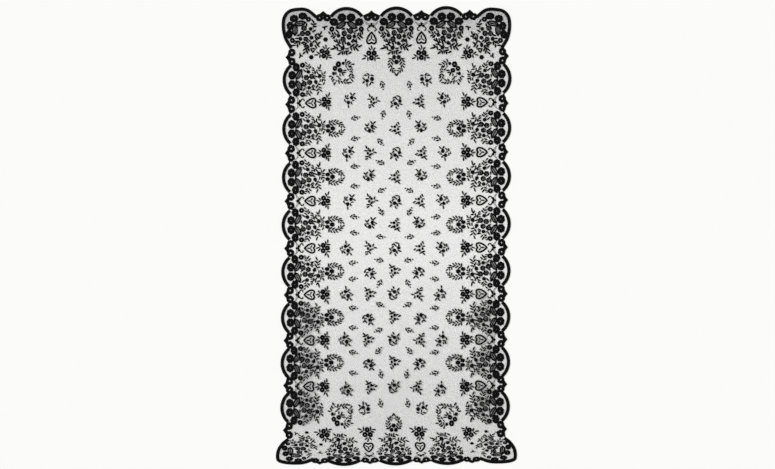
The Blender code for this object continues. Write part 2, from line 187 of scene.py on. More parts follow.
SCALLOP_BLOSSOMS = mirrored(
    Stitch("blossom", 20, 42, 37, 32, 11),
    Stitch("blossom", 55, 60, 36, 30, 20),
    Stitch("ring", 64, 88, 22, 22, 10),
)
SCALLOP_LEAVES = mirrored(Stitch("long_leaf", 24, 72, 24, 50, -61))
SCALLOP_ROSES = (
    Stitch("rose", -10, 105, 23, 23, 40),
    Stitch("rose", 18, 95, 23, 23, 250),
    Stitch("rose", 11, 119, 22, 22, 300),
    Stitch("rose", -15, 129, 23, 23, 160),
    Stitch("bud", -35, 114, 17, 17),
    Stitch("bud", 34, 117, 17, 17, 40),
    Stitch("bud", 8, 146, 17, 17, 20),
    Stitch("bud", 15, 149, 10, 10),
    Stitch("bud", -17, 164, 19, 18, 10),
)
SCALLOP_SPRAYS = (
    Leaf(-70, 107, -78, 99),
    Leaf(-56, 112, -63, 102),
    Leaf(-46, 110, -53, 101),
    Leaf(-59, 115, -69, 119),
    Leaf(-49, 117, -60, 125),
    Leaf(-34, 103, -46, 91),
    Leaf(-38, 142, -44, 128),
    Leaf(-30, 139, -32, 129),
    Leaf(-25, 143, -37, 145),
    Leaf(-46, 139, -55, 132),
    Leaf(-25, 158, -35, 150),
    Leaf(-35, 151, -46, 151),
    Leaf(-47, 160, -57, 154),
    Leaf(-47, 163, -68, 168),
    Leaf(-41, 159, -39, 172),
    Leaf(-24, 174, -34, 173),
    Leaf(-25, 181, -37, 189),
    Leaf(-19, 177, -17, 189),
    Leaf(-10, 176, -9, 187),
    Leaf(-2, 178, 2, 190),
    Leaf(-3, 177, 9, 174),
    Leaf(-3, 166, 8, 166),
    Leaf(10, 185, 21, 179),
    Leaf(-12, 155, -19, 141),
    Leaf(-6, 137, -4, 147),
    Leaf(-7, 86, -20, 88),
    Leaf(9, 99, 2, 85),
    Leaf(36, 97, 48, 91),
    Leaf(31, 101, 38, 107),
    Leaf(47, 115, 54, 103),
    Leaf(60, 102, 63, 112),
    Leaf(69, 98, 70, 108),
    Leaf(56, 113, 70, 123),
    Leaf(50, 120, 59, 129),
    Leaf(21, 139, 30, 128),
    Leaf(31, 129, 39, 139),
    Leaf(27, 141, 33, 136),
    Leaf(42, 129, 44, 146),
    Leaf(20, 157, 36, 147),
    Leaf(37, 160, 49, 149),
    Leaf(51, 159, 66, 152),
    Leaf(18, 157, 22, 171),
    Leaf(30, 158, 36, 172),
    Leaf(41, 162, 51, 174),
)

# Behind a picot, a ring is measured from the picot's foot, and the rest of its motifs from the crowns.
PICOT_RING = (Stitch("ring", 0, 9, 33, 31, 12),)
PICOT_CROWN = (
    Stitch("bud", 0, 69, 11, 12),
    *mirrored(Stitch("bud", 8, 77, 12, 11)),
    Leaf(0, 78, 0, 64),
)
PICOT_HOOKS = (
    ((-7, 80), (-13, 83), (-17.5, 88), (-16, 94), (-9, 96.5)),
    ((8, 80), (15, 83), (20, 88), (18.5, 94), (12, 96)),
)
PICOT_ARCS = (
    ((-30, 58), (-18, 66), (0, 68), (18, 66), (30, 58)),
    ((-26, 65), (-14, 73), (0, 75), (14, 73), (26, 65)),
)
HEART_CHART = (
    Stitch("heart", 0, 98, 45, 49),
    Leaf(0, 128, 0, 114),
    *mirrored(Leaf(3, 129, 12, 135)),
)
RING_SPRIG = (
    Stitch("ring", -11.5, 184, 22, 21),
    Stitch("ring", 11.5, 184, 22, 21, 20),
    Stitch("ring", 0, 203, 21, 21, 40),
    Leaf(3, 167, -2, 153),
    Leaf(-2, 172, -13, 162),
    Leaf(7, 172, 17, 162),
    Leaf(-18, 199, -34, 191),
    Leaf(15, 198, 30, 193),
    Leaf(-26, 203, -41, 208),
    Leaf(22, 204, 37, 204),
    Leaf(-16, 201, -16, 215),
    Leaf(15, 201, 15, 216),
)

CORNER_BLOSSOMS = (
    Stitch("blossom", 54, 48, 36, 32, 20),
    Stitch("blossom", 92, 37, 37, 30, 10),
    Stitch("blossom", 37, 80, 30, 36),
    Stitch("blossom", 33, 116, 28, 37, 10),
    Stitch("ring", 117, 51, 22, 22),
    Stitch("ring", 47, 143, 22, 22),
)
CORNER_LEAVES = (
    Stitch("long_leaf", 80, 69, 24, 52, -100),
    Stitch("long_leaf", 58, 98, 24, 50, 2),
)
CORNER_ROSES = (
    Stitch("rose", 97, 90, 24, 22, 40),
    Stitch("rose", 90, 113, 22, 23, 160),
    Stitch("rose", 114, 112, 24, 24, 250),
    Stitch("rose", 105, 137, 20, 20, 300),
    Stitch("bud", 126, 93, 17, 17),
    Stitch("bud", 82, 136, 16, 19, 20),
    Stitch("bud", 130, 131, 19, 18, 40),
    Stitch("bud", 129, 162, 16, 22, 10),
)
CORNER_SPRAYS = (
    Stitch("bud", 191, 139, 17, 17),
    Stitch("bud", 129, 216, 17, 17),
    Stitch("bud", 187, 85, 8, 8),
    Stitch("bud", 82, 210, 8, 8),
    Leaf(187, 86, 177, 85),
    Leaf(187, 85, 198, 82),
    Leaf(187, 86, 187, 97),
    Leaf(82, 210, 79, 199),
    Leaf(82, 210, 91, 212),
    Leaf(82, 210, 77, 219),
    Leaf(141, 67, 132, 53),
    Leaf(106, 82, 110, 70),
    Leaf(138, 76, 128, 69),
    Leaf(138, 76, 151, 70),
    Leaf(136, 84, 151, 82),
    Leaf(134, 106, 148, 98),
    Leaf(145, 126, 153, 114),
    Leaf(147, 131, 155, 142),
    Leaf(163, 124, 159, 112),
    Leaf(164, 125, 177, 124),
    Leaf(167, 118, 174, 105),
    Leaf(153, 127, 161, 134),
    Leaf(158, 136, 168, 131),
    Leaf(146, 144, 153, 156),
    Leaf(157, 160, 167, 150),
    Leaf(153, 158, 163, 171),
    Leaf(145, 164, 152, 176),
    Leaf(134, 178, 148, 181),
    Leaf(135, 152, 143, 144),
    Leaf(128, 178, 131, 191),
    Leaf(142, 187, 134, 196),
    Leaf(74, 134, 60, 134),
    Leaf(76, 147, 60, 147),
    Leaf(70, 151, 55, 156),
    Leaf(60, 164, 43, 165),
    Leaf(69, 160, 69, 173),
    Leaf(77, 148, 78, 162),
    Leaf(95, 149, 87, 157),
    Leaf(93, 149, 103, 154),
    Leaf(93, 157, 100, 165),
    Leaf(108, 155, 102, 163),
    Leaf(109, 165, 98, 172),
    Leaf(113, 163, 119, 173),
    Leaf(112, 173, 94, 187),
    Leaf(103, 193, 93, 201),
    Leaf(108, 184, 113, 199),
    Leaf(113, 174, 120, 189),
    Leaf(79, 118, 67, 123),
    Leaf(108, 146, 117, 152),
    Leaf(118, 140, 125, 148),
)

CORNER_WREATH = (
    Stitch("ring", -13, -36, 22, 26),
    Stitch("ring", -28, -18, 19, 22),
    Stitch("ring", -6, -10, 20, 20),
    Stitch("bud", 8, -40, 13, 15),
    Stitch("bud", -34, 4, 14, 17),
    Leaf(17, -47, 21, -60),
    Leaf(23, -43, 36, -51),
    Leaf(20, -42, 22, -32),
    Leaf(30, -36, 42, -45),
    Leaf(44, -35, 57, -37),
    Leaf(30, -30, 38, -21),
    Leaf(37, -31, 45, -22),
    Leaf(18, -29, 23, -22),
    Leaf(26, -18, 32, -9),
    Leaf(36, -12, 44, -17),
    Leaf(45, -18, 50, -10),
    Leaf(36, -2, 44, -7),
    Leaf(44, -7, 49, 1),
    Leaf(33, 16, 42, 5),
    Leaf(45, 6, 55, 15),
    Leaf(36, 27, 40, 18),
    Leaf(45, 16, 55, 25),
    Leaf(43, 29, 52, 40),
    Leaf(31, 43, 45, 44),
    Leaf(20, 37, 32, 28),
    Leaf(23, 41, 32, 50),
    Leaf(9, 39, 18, 27),
    Leaf(12, 41, 20, 50),
    Leaf(-2, 36, 6, 48),
    Leaf(-12, 32, -9, 49),
    Leaf(-24, 35, -18, 39),
    Leaf(-22, 16, -12, 18),
    Leaf(-14, 21, -1, 31),
    Leaf(-31, 28, -40, 40),
    Leaf(-44, 31, -36, 18),
    Leaf(-33, 55, -25, 41),
    Leaf(-42, 15, -54, 18),
    Leaf(-24, -2, -23, 8),
    Leaf(-7, 5, -5, 16),
    Leaf(2, 0, 10, 14),
    Leaf(5, -1, 19, 0),
    Leaf(9, -10, 23, -9),
)
CENTRE_WREATH = (
    Stitch("bud", 0, -23, 19, 21, 10),
    *mirrored(
        Stitch("bud", 10, -44, 17, 20, 12),
        Leaf(21, -37, 34, -38),
        Leaf(21, -36, 12, -23),
        Leaf(27, -31, 36, -23),
        Leaf(29, -17, 38, -10),
        Leaf(23, -23, 15, -11),
        Leaf(28, -6, 35, 2),
        Leaf(25, -10, 19, 1),
        Leaf(23, 6, 27, 18),
        Leaf(18, 6, 7, 5),
        Leaf(17, 12, 16, 24),
        Leaf(11, 15, 2, 14),
        Leaf(10, 22, 3, 30),
    ),
)
WREATH_TIP = mirrored(Leaf(0, 38, 6, 26))

SPRIGS = {
    "outer_left": (
        Stitch("bud", 7, -8, 15, 18),
        Stitch("bud", -7, 13, 15, 19),
        Leaf(0, -30, 9, -19),
        Leaf(13, -18, 22, -29),
        Leaf(-12, -10, -8, -20),
        Leaf(-20, -19, -18, -5),
        Leaf(-17, -4, -5, -4),
        Leaf(-25, -1, -20, 10),
        Leaf(17, -9, 27, -2),
        Leaf(9, 6, 19, 3),
        Leaf(4, 11, 9, 22),
        Leaf(-20, 9, -12, 14),
        Leaf(-7, 25, -6, 37),
    ),
    "outer_right": (
        Stitch("bud", -8, -9, 17, 19),
        Stitch("bud", 4, 10, 16, 16),
        Leaf(-16, -19, -24, -29),
        Leaf(-9, -19, -2, -30),
        Leaf(4, -22, 12, -11),
        Leaf(18, -21, 18, -8),
        Leaf(4, -3, 13, -7),
        Leaf(26, -5, 26, 5),
        Leaf(18, -1, 18, 11),
        Leaf(-30, -2, -22, -8),
        Leaf(-23, 1, -11, 6),
        Leaf(-15, 19, -3, 8),
        Leaf(1, 20, 3, 34),
    ),
    "inner_left": (
        Stitch("bud", -7, -8, 11, 14),
        Stitch("bud", -17, 3, 10, 14),
        Stitch("bud", -6, 9, 11, 11),
        Leaf(-4, 5, 8, 5),
        Leaf(-26, -31, -21, -17),
        Leaf(-16, -10, -12, -21),
        Leaf(4, -6, 8, -18),
        Leaf(-33, -8, -19, -8),
        Leaf(10, -2, 22, 1),
        Leaf(-28, 17, -16, 18),
        Leaf(-14, 14, -4, 26),
        Leaf(-27, 31, -17, 24),
    ),
    "inner_right": (
        Stitch("bud", -1, -7, 13, 13),
        Stitch("bud", 13, 3, 11, 13),
        Stitch("bud", 0, 10, 12, 15),
        Leaf(12, -29, 18, -17),
        Leaf(6, -21, 10, -10),
        Leaf(13, -7, 24, -8),
        Leaf(-17, -11, -11, -3),
        Leaf(-26, 9, -15, 3),
        Leaf(-14, 15, -6, 7),
        Leaf(8, 18, 25, 14),
        Leaf(0, 24, 11, 20),
        Leaf(14, 20, 24, 31),
    ),
    "middle": (
        Stitch("bud", 13, 0, 16, 16),
        Stitch("bud", -6, 11, 17, 17),
        Leaf(-2, -23, 13, -20),
        Leaf(-17, -12, -9, -19),
        Leaf(-9, -18, 4, -5),
        Leaf(14, -19, 14, -6),
        Leaf(-18, 1, -9, -8),
        Leaf(-28, 2, -18, 12),
        Leaf(-27, 28, -17, 16),
        Leaf(-5, 25, 2, 35),
        Leaf(10, 11, 25, 16),
        Leaf(4, 13, 7, 25),
    ),
    "between_left": (
        Stitch("bud", 3, -8, 15, 19),
        Stitch("bud", -8, 10, 16, 20),
        Leaf(-4, -32, 4, -19),
        Leaf(8, -20, 18, -31),
        Leaf(-27, -19, -19, -9),
        Leaf(-18, -10, -11, -22),
        Leaf(-21, -4, -10, -2),
        Leaf(13, -9, 23, -3),
        Leaf(4, 2, 16, 2),
        Leaf(-30, -3, -24, 9),
        Leaf(-24, 9, -15, 13),
        Leaf(3, 7, 11, 18),
    ),
    "between_right": (
        Stitch("bud", -13, -12, 17, 17),
        Stitch("bud", -3, 8, 15, 19),
        Leaf(-6, -34, -14, -22),
        Leaf(-18, -23, -28, -34),
        Leaf(17, -22, 9, -12),
        Leaf(8, -13, 1, -25),
        Leaf(11, -7, 0, -5),
        Leaf(-23, -12, -33, -6),
        Leaf(-14, -1, -26, -1),
        Leaf(20, -6, 14, 6),
        Leaf(14, 6, 5, 10),
        Leaf(-13, 4, -21, 15),
    ),
    "end": (
        Stitch("bud", 14, -1, 18, 19),
        Stitch("bud", -7, 6, 16, 16),
        Leaf(-21, -18, -7, -16),
        Leaf(-8, -26, 2, -19),
        Leaf(9, -19, 22, -15),
        Leaf(-1, -14, -1, -3),
        Leaf(-27, -6, -12, 7),
        Leaf(-28, 18, -17, 10),
        Leaf(-8, 15, -8, 33),
        Leaf(3, 27, 9, 14),
        Leaf(9, 11, 21, 17),
    ),
    "small": (
        Stitch("bud", -3, -7, 8, 8),
        Stitch("bud", 19, -2, 7, 7),
        Leaf(-17, 8, -9, -5),
        Leaf(-9, 9, 4, 11),
        Leaf(-4, 2, 12, -4),
        Leaf(8, 0, 12, 9),
    ),
}

# How a leaflet is worked: its width at most as a share of its length, how much longer it is than its row
# says, in metres, and the longest stem that ties one, in millimetres.
LEAFLET_SHARE, LEAFLET_OVERLAP, LONGEST_STEM = 0.50, 0.002, 26

# How full some motifs are worked against their charts. Beyond the end line a border is that of an end.
TOP_SPRAY_FULLNESS, BOTTOM_BLOSSOM_FULLNESS, END_LINE = 1.20, 0.88, 0.9
WREATH_FULLNESS, SMALL_FULLNESS = 1.06, 0.92

# How far the hearts and the ring sprigs of the long sides are pulled towards the nearest row of sprigs, how
# far the middle of a ring sprig lies from its chart's start, and how far a corner's ring sprig is turned.
HEART_PULL, RING_SPRIG_PULL = 0.4, 0.75
RING_SPRIG_MIDDLE, CORNER_SPRIG_TURN = 0.190, radians(12)

# Where the wreaths and the strewn sprigs lie, in metres. A side wreath's place is counted from the crown of
# its scallop. The cloth is the same turned half round, so below the turning line the sprigs are turned over,
# and below the border's own turning line its motifs are. The middle line leans a little across the cloth.
Wreath = namedtuple("Wreath", "x y flip_x flip_y")
SIDE_WREATH_PLACE = 0.246
CORNER_WREATHS = (
    Wreath(-0.240, 0.712, 1.0, 1.0),
    Wreath(0.240, 0.712, -1.0, 1.0),
    Wreath(-0.245, -0.780, 1.0, -1.0),
    Wreath(0.227, -0.780, -1.0, -1.0),
)
CENTRE_WREATHS = (
    Wreath(0.000, 0.735, 1.0, 1.0),
    Wreath(-0.012, -0.806, 0.95, -0.88),
)
TURNING_LINE, BORDER_TURNING_LINE = -0.100, -0.050
MIDDLE_X, MIDDLE_LEAN, TURNED_X = -0.003, 0.008, -0.0145

# The rows of sprigs in ranks from the middle row outward, the same above and below it: how far from the
# middle line its sprigs lie, the outward lift of its outer sprigs, and how far its small sprigs lie outward
# of the row and inward of it, with their turns in degrees.
Rank = namedtuple("Rank", "near far lift over over_turn under under_turn")
PICOT_RANKS = (
    Rank(0.104, 0.204, -0.003, 0.050, -15, 0.052, 180),
    Rank(0.100, 0.204, -0.002, 0.047, 15, 0.047, -50),
    Rank(0.108, 0.210, -0.002, 0.048, -60, 0.041, -12),
    Rank(0.095, 0.204, 0.007, None, 0, 0.058, 90),
)
SCALLOP_RANKS = (
    Rank(0.106, 0.0, 0.0, 0.035, -16, 0.035, -16),
    Rank(0.114, 0.0, 0.0, 0.047, -5, 0.039, -5),
    Rank(0.110, 0.0, 0.0, 0.047, 0, 0.043, 0),
)
END_ROW_STEP = 0.012
Row = namedtuple("Row", "y near far lift over over_turn under under_turn")


def rows_between(left, right, ranks, end_step):
    """A row level with each pair of facing scallops or picots, from the top down, sized by its rank."""
    rows = []
    middle = (len(left) - 1) / 2
    for index, (one, other) in enumerate(zip(reversed(left), right)):
        half = 1 if index <= middle else -1
        rank = ranks[int(abs(index - middle))]
        y = (one.place + other.place) / 2
        if index in (0, len(left) - 1):
            y += half * end_step
        over = None if rank.over is None else y + half * rank.over
        under = y - half * rank.under
        lift = half * rank.lift
        rows.append(Row(y, rank.near, rank.far, lift, over, rank.over_turn, under, rank.under_turn))
    return rows


PICOT_ROWS = rows_between(LEFT_EDGE.picots[1:-1], RIGHT_EDGE.picots[1:-1], PICOT_RANKS, END_ROW_STEP)
SCALLOP_ROWS = rows_between(LEFT_EDGE.scallops[1:-1], RIGHT_EDGE.scallops[1:-1], SCALLOP_RANKS, 0.0)
LAST_UPRIGHT_ROW = PICOT_ROWS[len(PICOT_ROWS) // 2]
SCALLOP_MIDDLE_X, SMALL_X = -0.007, -0.003
SMALL_OUTER, SMALL_INNER_SHARE = 0.178, 0.61
END_SPRIG_X, END_SPRIG_ROWS = 0.123, (0.683, -0.753)
END_SMALL_X, END_SMALL_ROWS = 0.059, (0.658, -0.730)

# Soft ridges where the cloth stands off the surface: from, to, half width and height, in metres.
Ridge = namedtuple("Ridge", "x0 y0 x1 y1 half_width height")
RIDGES = (
    Ridge(-0.22, -0.655, 0.27, -0.640, 0.070, 0.0025),
    Ridge(-0.24, -0.500, 0.22, -0.480, 0.070, 0.0025),
    Ridge(-0.28, -0.330, 0.22, -0.310, 0.070, 0.0015),
    Ridge(-0.05, 0.100, 0.24, 0.000, 0.070, 0.0010),
    Ridge(-0.25, 0.330, 0.02, 0.300, 0.060, 0.0010),
    Ridge(0.10, 0.620, 0.26, 0.500, 0.060, 0.0010),
    Ridge(0.385, -0.300, 0.385, -0.780, 0.050, 0.0060),
    Ridge(-0.395, -0.340, -0.395, -0.780, 0.050, 0.0060),
)

# The fine ripple of the whole cloth, and how far from its middle the ridges and the ripple have died away,
# over how wide a fade.
RIPPLE_HEIGHT, FLAT_X, FLAT_Y, FLAT_FADE = 0.0005, 0.475, 0.96, 0.08

# The photograph's width in pixels, one pixel on the cloth, and the frame's centre from the cloth's middle,
# in metres.
PHOTO_WIDTH, PIXEL = 775, 0.004357
FRAME_CENTRE = (-0.0388, 0.0064)

# The stage: the floor and how far it lies below the cloth, where the soft light comes from and how broad it
# is, and the width of the camera's sensor in millimetres.
FLOOR_SIZE, FLOOR_LEVEL = 14.0, -0.0002
KEY_FROM, KEY_ANGLE = Vector((-1.9, 0.7, 1.0)), radians(22)
SENSOR_WIDTH = 36.0


# Small helpers for modelling.


def clear_selection():
    """Leaves edit mode and selects nothing."""
    if bpy.context.object and bpy.context.object.mode != "OBJECT":
        bpy.ops.object.mode_set(mode="OBJECT")
    bpy.ops.object.select_all(action="DESELECT")


def start(add, **settings):
    """Adds a primitive on its own and opens it in edit mode, all selected."""
    clear_selection()
    add(**settings)
    bpy.ops.object.mode_set(mode="EDIT")
    bpy.ops.mesh.select_all(action="SELECT")
    return bpy.context.object


def pick(obj, test, faces=False):
    """Selects the vertices, or the faces, whose place passes a test."""
    bpy.ops.mesh.select_mode(type="FACE" if faces else "VERT")
    bpy.ops.mesh.select_all(action="DESELECT")
    body = bmesh.from_edit_mesh(obj.data)
    for item in body.faces if faces else body.verts:
        place = item.calc_center_median() if faces else item.co
        if test(place):
            item.select_set(True)
    bmesh.update_edit_mesh(obj.data)


def raise_face(height, rim=0.0, sink=0.0):
    """Extrudes the selected face upward, and sinks its middle inside a rim."""
    bpy.ops.mesh.extrude_region_move(TRANSFORM_OT_translate={"value": (0, 0, height)})
    if rim:
        bpy.ops.mesh.inset(thickness=rim, depth=-sink)


def done(obj, name, material):
    """Turns the faces outward, leaves edit mode and gives the element its finish."""
    bpy.ops.mesh.select_all(action="SELECT")
    bpy.ops.mesh.normals_make_consistent(inside=False)
    bpy.ops.object.mode_set(mode="OBJECT")
    obj.name = name
    obj.data.materials.clear()
    obj.data.materials.append(material)
    return obj


def copied(source, matrix):
    """A copy with its own mesh, placed by a matrix and right side out."""
    copy = source.copy()
    copy.data = source.data.copy()
    bpy.context.scene.collection.objects.link(copy)
    copy.data.transform(matrix)
    if matrix.determinant() < 0:
        copy.data.flip_normals()
    return copy


def joined(parts, name):
    """Joins objects that sit at the origin into one."""
    clear_selection()
    for part in parts:
        part.select_set(True)
    bpy.context.view_layer.objects.active = parts[0]
    if len(parts) > 1:
        bpy.ops.object.join()
    obj = bpy.context.object
    obj.name = name
    return obj


def discard(objects):
    """Removes patterns that have been copied."""
    for obj in list(objects):
        bpy.data.objects.remove(obj)


def cords(name, runs, width, height, material, closed=False, beads=0.0, sides=0):
    """Flattened cords of one width along runs of points, with a beaded stitch where asked."""
    curve = bpy.data.curves.new(name, "CURVE")
    curve.dimensions = "3D"
    curve.bevel_depth = width / 2
    curve.bevel_resolution = sides
    curve.use_fill_caps = True
    for run in runs:
        spline = curve.splines.new("POLY")
        spline.points.add(len(run) - 1)
        for index, (point, place) in enumerate(zip(spline.points, run)):
            point.co = (place[0], place[1], 0.0, 1.0)
            point.radius = 1.0 + beads * (1 if index % 2 else -1)
        spline.use_cyclic_u = closed
    obj = bpy.data.objects.new(name, curve)
    bpy.context.scene.collection.objects.link(obj)
    clear_selection()
    obj.select_set(True)
    bpy.context.view_layer.objects.active = obj
    bpy.ops.object.convert(target="MESH")
    obj = bpy.context.object
    obj.data.transform(Matrix.Diagonal((1, 1, height / width, 1)))
    obj.data.transform(Matrix.Translation((0, 0, height / 2)))
    obj.data.materials.clear()
    obj.data.materials.append(material)
    return obj


def resampled(run, gap):
    """A run of points laid out again at even gaps."""
    points = [Vector(point) for point in run]
    lengths = [0.0]
    for before, after in zip(points, points[1:]):
        lengths.append(lengths[-1] + (after - before).length)
    count = max(2, round(lengths[-1] / gap) + 1)
    wanted = np.linspace(0.0, lengths[-1], count)
    xs = np.interp(wanted, lengths, [point.x for point in points])
    ys = np.interp(wanted, lengths, [point.y for point in points])
    return [Vector((x, y)) for x, y in zip(xs, ys)]


# Elements of the lace, each modelled at the origin and pointing along +Y.


def step_round(place, steps):
    """Which of a circle's steps a place lies at."""
    return round(degrees(atan2(place.y, place.x)) * steps / 360)


def model_leaflet(size, finish):
    """A small pointed leaf worked solid, with a raised cord round a sunk middle."""
    rim, sink = size.x * 0.17, 0.00022
    obj = start(bpy.ops.mesh.primitive_circle_add, vertices=8, radius=0.5, fill_type="NGON")
    bpy.ops.transform.resize(value=(size.x, size.y, 1))
    raise_face(STITCH_THICKNESS, rim, sink)
    return done(obj, "leaflet", finish["cloth_stitch"])


def model_bud(size, finish):
    """A six-petalled bud with a low crown and a dimple."""
    radius, steps = size.x / 2, 12
    notch, rim, crown, dimple = 0.84, radius * 0.16, radius * 0.26, radius * 0.18
    sink, swell, dip = 0.0002, 0.00035, 0.0004
    obj = start(bpy.ops.mesh.primitive_circle_add, vertices=steps, radius=radius, fill_type="NGON")
    pick(obj, lambda place: step_round(place, steps) % 2 == 1)
    bpy.ops.transform.resize(value=(notch, notch, 1), center_override=(0, 0, 0))
    bpy.ops.mesh.select_all(action="SELECT")
    raise_face(STITCH_THICKNESS, rim, sink)
    bpy.ops.mesh.inset(thickness=crown, depth=swell)
    bpy.ops.mesh.inset(thickness=dimple, depth=-dip)
    return done(obj, "bud", finish["cloth_stitch"])


def model_ring(name, outer, hole, lobes, finish, fill=None):
    """A ring of buttonhole stitch with a lobed outer edge, over a half-stitch middle where asked."""
    minor = (outer - hole) / 2
    steps, notch = lobes * 4, 0.91
    obj = start(
        bpy.ops.mesh.primitive_torus_add,
        major_radius=outer - minor,
        minor_radius=minor,
        major_segments=steps,
        minor_segments=6,
    )
    bpy.ops.transform.resize(value=(1, 1, RING_THICKNESS / minor), center_override=(0, 0, 0))
    pick(obj, lambda place: place.length > outer - minor and step_round(place, steps) % 4 == 2)
    bpy.ops.transform.resize(value=(notch, notch, 1), center_override=(0, 0, 0))
    bpy.ops.mesh.select_all(action="SELECT")
    bpy.ops.transform.translate(value=(0, 0, RING_THICKNESS))
    ring = done(obj, name, finish["cord"])
    if not fill:
        return ring
    disc = start(bpy.ops.mesh.primitive_circle_add, vertices=10, radius=hole + minor / 2, fill_type="NGON")
    raise_face(GROUND_THICKNESS)
    return joined([ring, done(disc, "disc", finish[fill])], name)


def model_plain_ring(size, finish):
    """A six-lobed ring round a pinhole."""
    return model_ring("ring", size.x / 2, size.x * 0.088, 6, finish)


def model_blossom(size, finish):
    """A blossom of seven overlapping petals round a small eyelet."""
    radius, count = size.x / 2, 7
    half_width, half_length, reach = radius * 0.46, radius * 0.38, radius * 0.64
    rim, sink, crown, swell = radius * 0.085, 0.0003, radius * 0.1, 0.00025
    overlap = 0.00012
    obj = start(bpy.ops.mesh.primitive_circle_add, vertices=10, radius=1.0, fill_type="NGON")
    bpy.ops.transform.resize(value=(half_width, half_length, 1))
    bpy.ops.transform.translate(value=(0, reach, 0))
    raise_face(STITCH_THICKNESS * 1.15, rim, sink)
    bpy.ops.mesh.inset(thickness=crown, depth=swell)
    petal = done(obj, "petal", finish["cloth_stitch"])
    petals = []
    for index in range(count):
        turn = Matrix.Rotation(2 * pi * index / count, 4, "Z")
        lift = Matrix.Translation((0, 0, overlap * (index % 2)))
        petals.append(copied(petal, lift @ turn))
    discard([petal])
    eyelet = model_ring("eyelet", radius * 0.56, radius * 0.08, count, finish)
    return joined([*petals, eyelet], "blossom")


def model_rose(size, finish):
    """A rose: a corded ring, a spiral of cord inside it and a half-stitch ground."""
    radius = size.x / 2
    turns, widest, closing, steps = 1.3, 0.60, 0.52, 19
    ring = model_ring("rose", radius, radius * 0.58, 6, finish, "half_stitch")
    spiral = []
    for step in range(steps + 1):
        share = step / steps
        angle, reach = 2 * pi * turns * share, radius * (widest - closing * share)
        spiral.append((reach * cos(angle), reach * sin(angle)))
    coil = cords("coil", [spiral], radius * 0.26, COIL_HEIGHT, finish["cord"], sides=1)
    return joined([ring, coil], "rose")


def model_long_leaf(size, finish):
    """A long leaf: a broad corded edge, a half-stitch blade and a thin midrib."""
    half_width, half_length = size.x / 2, size.y / 2
    tips, narrowing, drawing = half_length * 0.70, 0.66, 1.03
    edge_width, rib_width, rib_end = size.x * 0.24, 0.0016, half_length * 0.8
    obj = start(bpy.ops.mesh.primitive_circle_add, vertices=20, radius=1.0, fill_type="NGON")
    bpy.ops.transform.resize(value=(half_width, half_length, 1))
    pick(obj, lambda place: abs(place.y) > tips)
    bpy.ops.transform.resize(value=(narrowing, drawing, 1), center_override=(0, 0, 0))
    pick(obj, lambda place: True, faces=True)
    bpy.ops.mesh.inset(thickness=edge_width, depth=0.0)
    pick(obj, lambda place: place.length < half_width * 0.3, faces=True)
    bpy.ops.mesh.separate(type="SELECTED")
    bpy.ops.mesh.select_all(action="SELECT")
    raise_face(STITCH_THICKNESS * 1.2)
    blade = next(other for other in bpy.context.selected_objects if other != obj)
    edge = done(obj, "long_leaf", finish["cord"])
    clear_selection()
    bpy.context.view_layer.objects.active = blade
    blade.select_set(True)
    bpy.ops.object.mode_set(mode="EDIT")
    bpy.ops.mesh.select_all(action="SELECT")
    raise_face(GROUND_THICKNESS)
    blade = done(blade, "blade", finish["half_stitch"])
    rib = cords("rib", [((0, -rib_end), (0, rib_end))], rib_width, STEM_HEIGHT, finish["cord"])
    return joined([edge, blade, rib], "long_leaf")


# The right half of a heart, from its tip round to its dip, as shares of its half width and of its length.
HEART_SHAPE = (
    (0.0, 0.0), (0.30, 0.14), (0.68, 0.36), (0.97, 0.66),
    (0.88, 0.92), (0.52, 1.0), (0.18, 0.95), (0.0, 0.88),
)


def model_heart(size, finish):
    """A heart drawn in a broad cord, beaded along its run, with its tip at the origin."""
    cord, bead_gap = size.x * 0.155, 0.0035
    half_width, length = size.x / 2 - cord / 2, size.y - cord
    half_run = smooth([(half_width * x, cord / 2 + length * y) for x, y in HEART_SHAPE])
    run = [*half_run, *((-x, y) for x, y in half_run[-2:0:-1])]
    run = resampled([*run, run[0]], bead_gap)[:-1]
    return cords("heart", [run], cord, HEART_HEIGHT, finish["cord"], closed=True, beads=0.08, sides=2)


# Each kind of element with the names of the two sizes that it is modelled at.
Element = namedtuple("Element", "model width length")
ELEMENTS = {
    "leaflet": Element(model_leaflet, "leaflet_width", "leaflet_length"),
    "bud": Element(model_bud, "bud_size", "bud_size"),
    "ring": Element(model_plain_ring, "ring_size", "ring_size"),
    "blossom": Element(model_blossom, "blossom_size", "blossom_size"),
    "rose": Element(model_rose, "rose_size", "rose_size"),
    "long_leaf": Element(model_long_leaf, "long_leaf_width", "long_leaf_length"),
    "heart": Element(model_heart, "heart_width", "heart_length"),
}


class Kit:
    """One modelled element of each kind that a group of charts calls for."""

    def __init__(self, kinds, scene):
        self.sizes, self.finish = scene.mantilla_sizes, finishes(scene.mantilla_look)
        self.models, self.natural = {}, {}
        for kind in kinds:
            element = ELEMENTS[kind]
            size = Vector((getattr(self.sizes, element.width), getattr(self.sizes, element.length)))
            self.natural[kind] = size
            self.models[kind] = element.model(size, self.finish)

    def copy(self, kind, across, inward, wide, long, turn):
        """A copy of an element at a place in metres, turned by an angle in radians."""
        natural = self.natural[kind]
        size = Matrix.Diagonal((wide / natural.x, long / natural.y, 1, 1))
        place = Matrix.Translation((across, inward, 0))
        return copied(self.models[kind], place @ Matrix.Rotation(turn, 4, "Z") @ size)

    def put_away(self):
        """Removes the modelled elements, once all their copies are made."""
        discard(self.models.values())


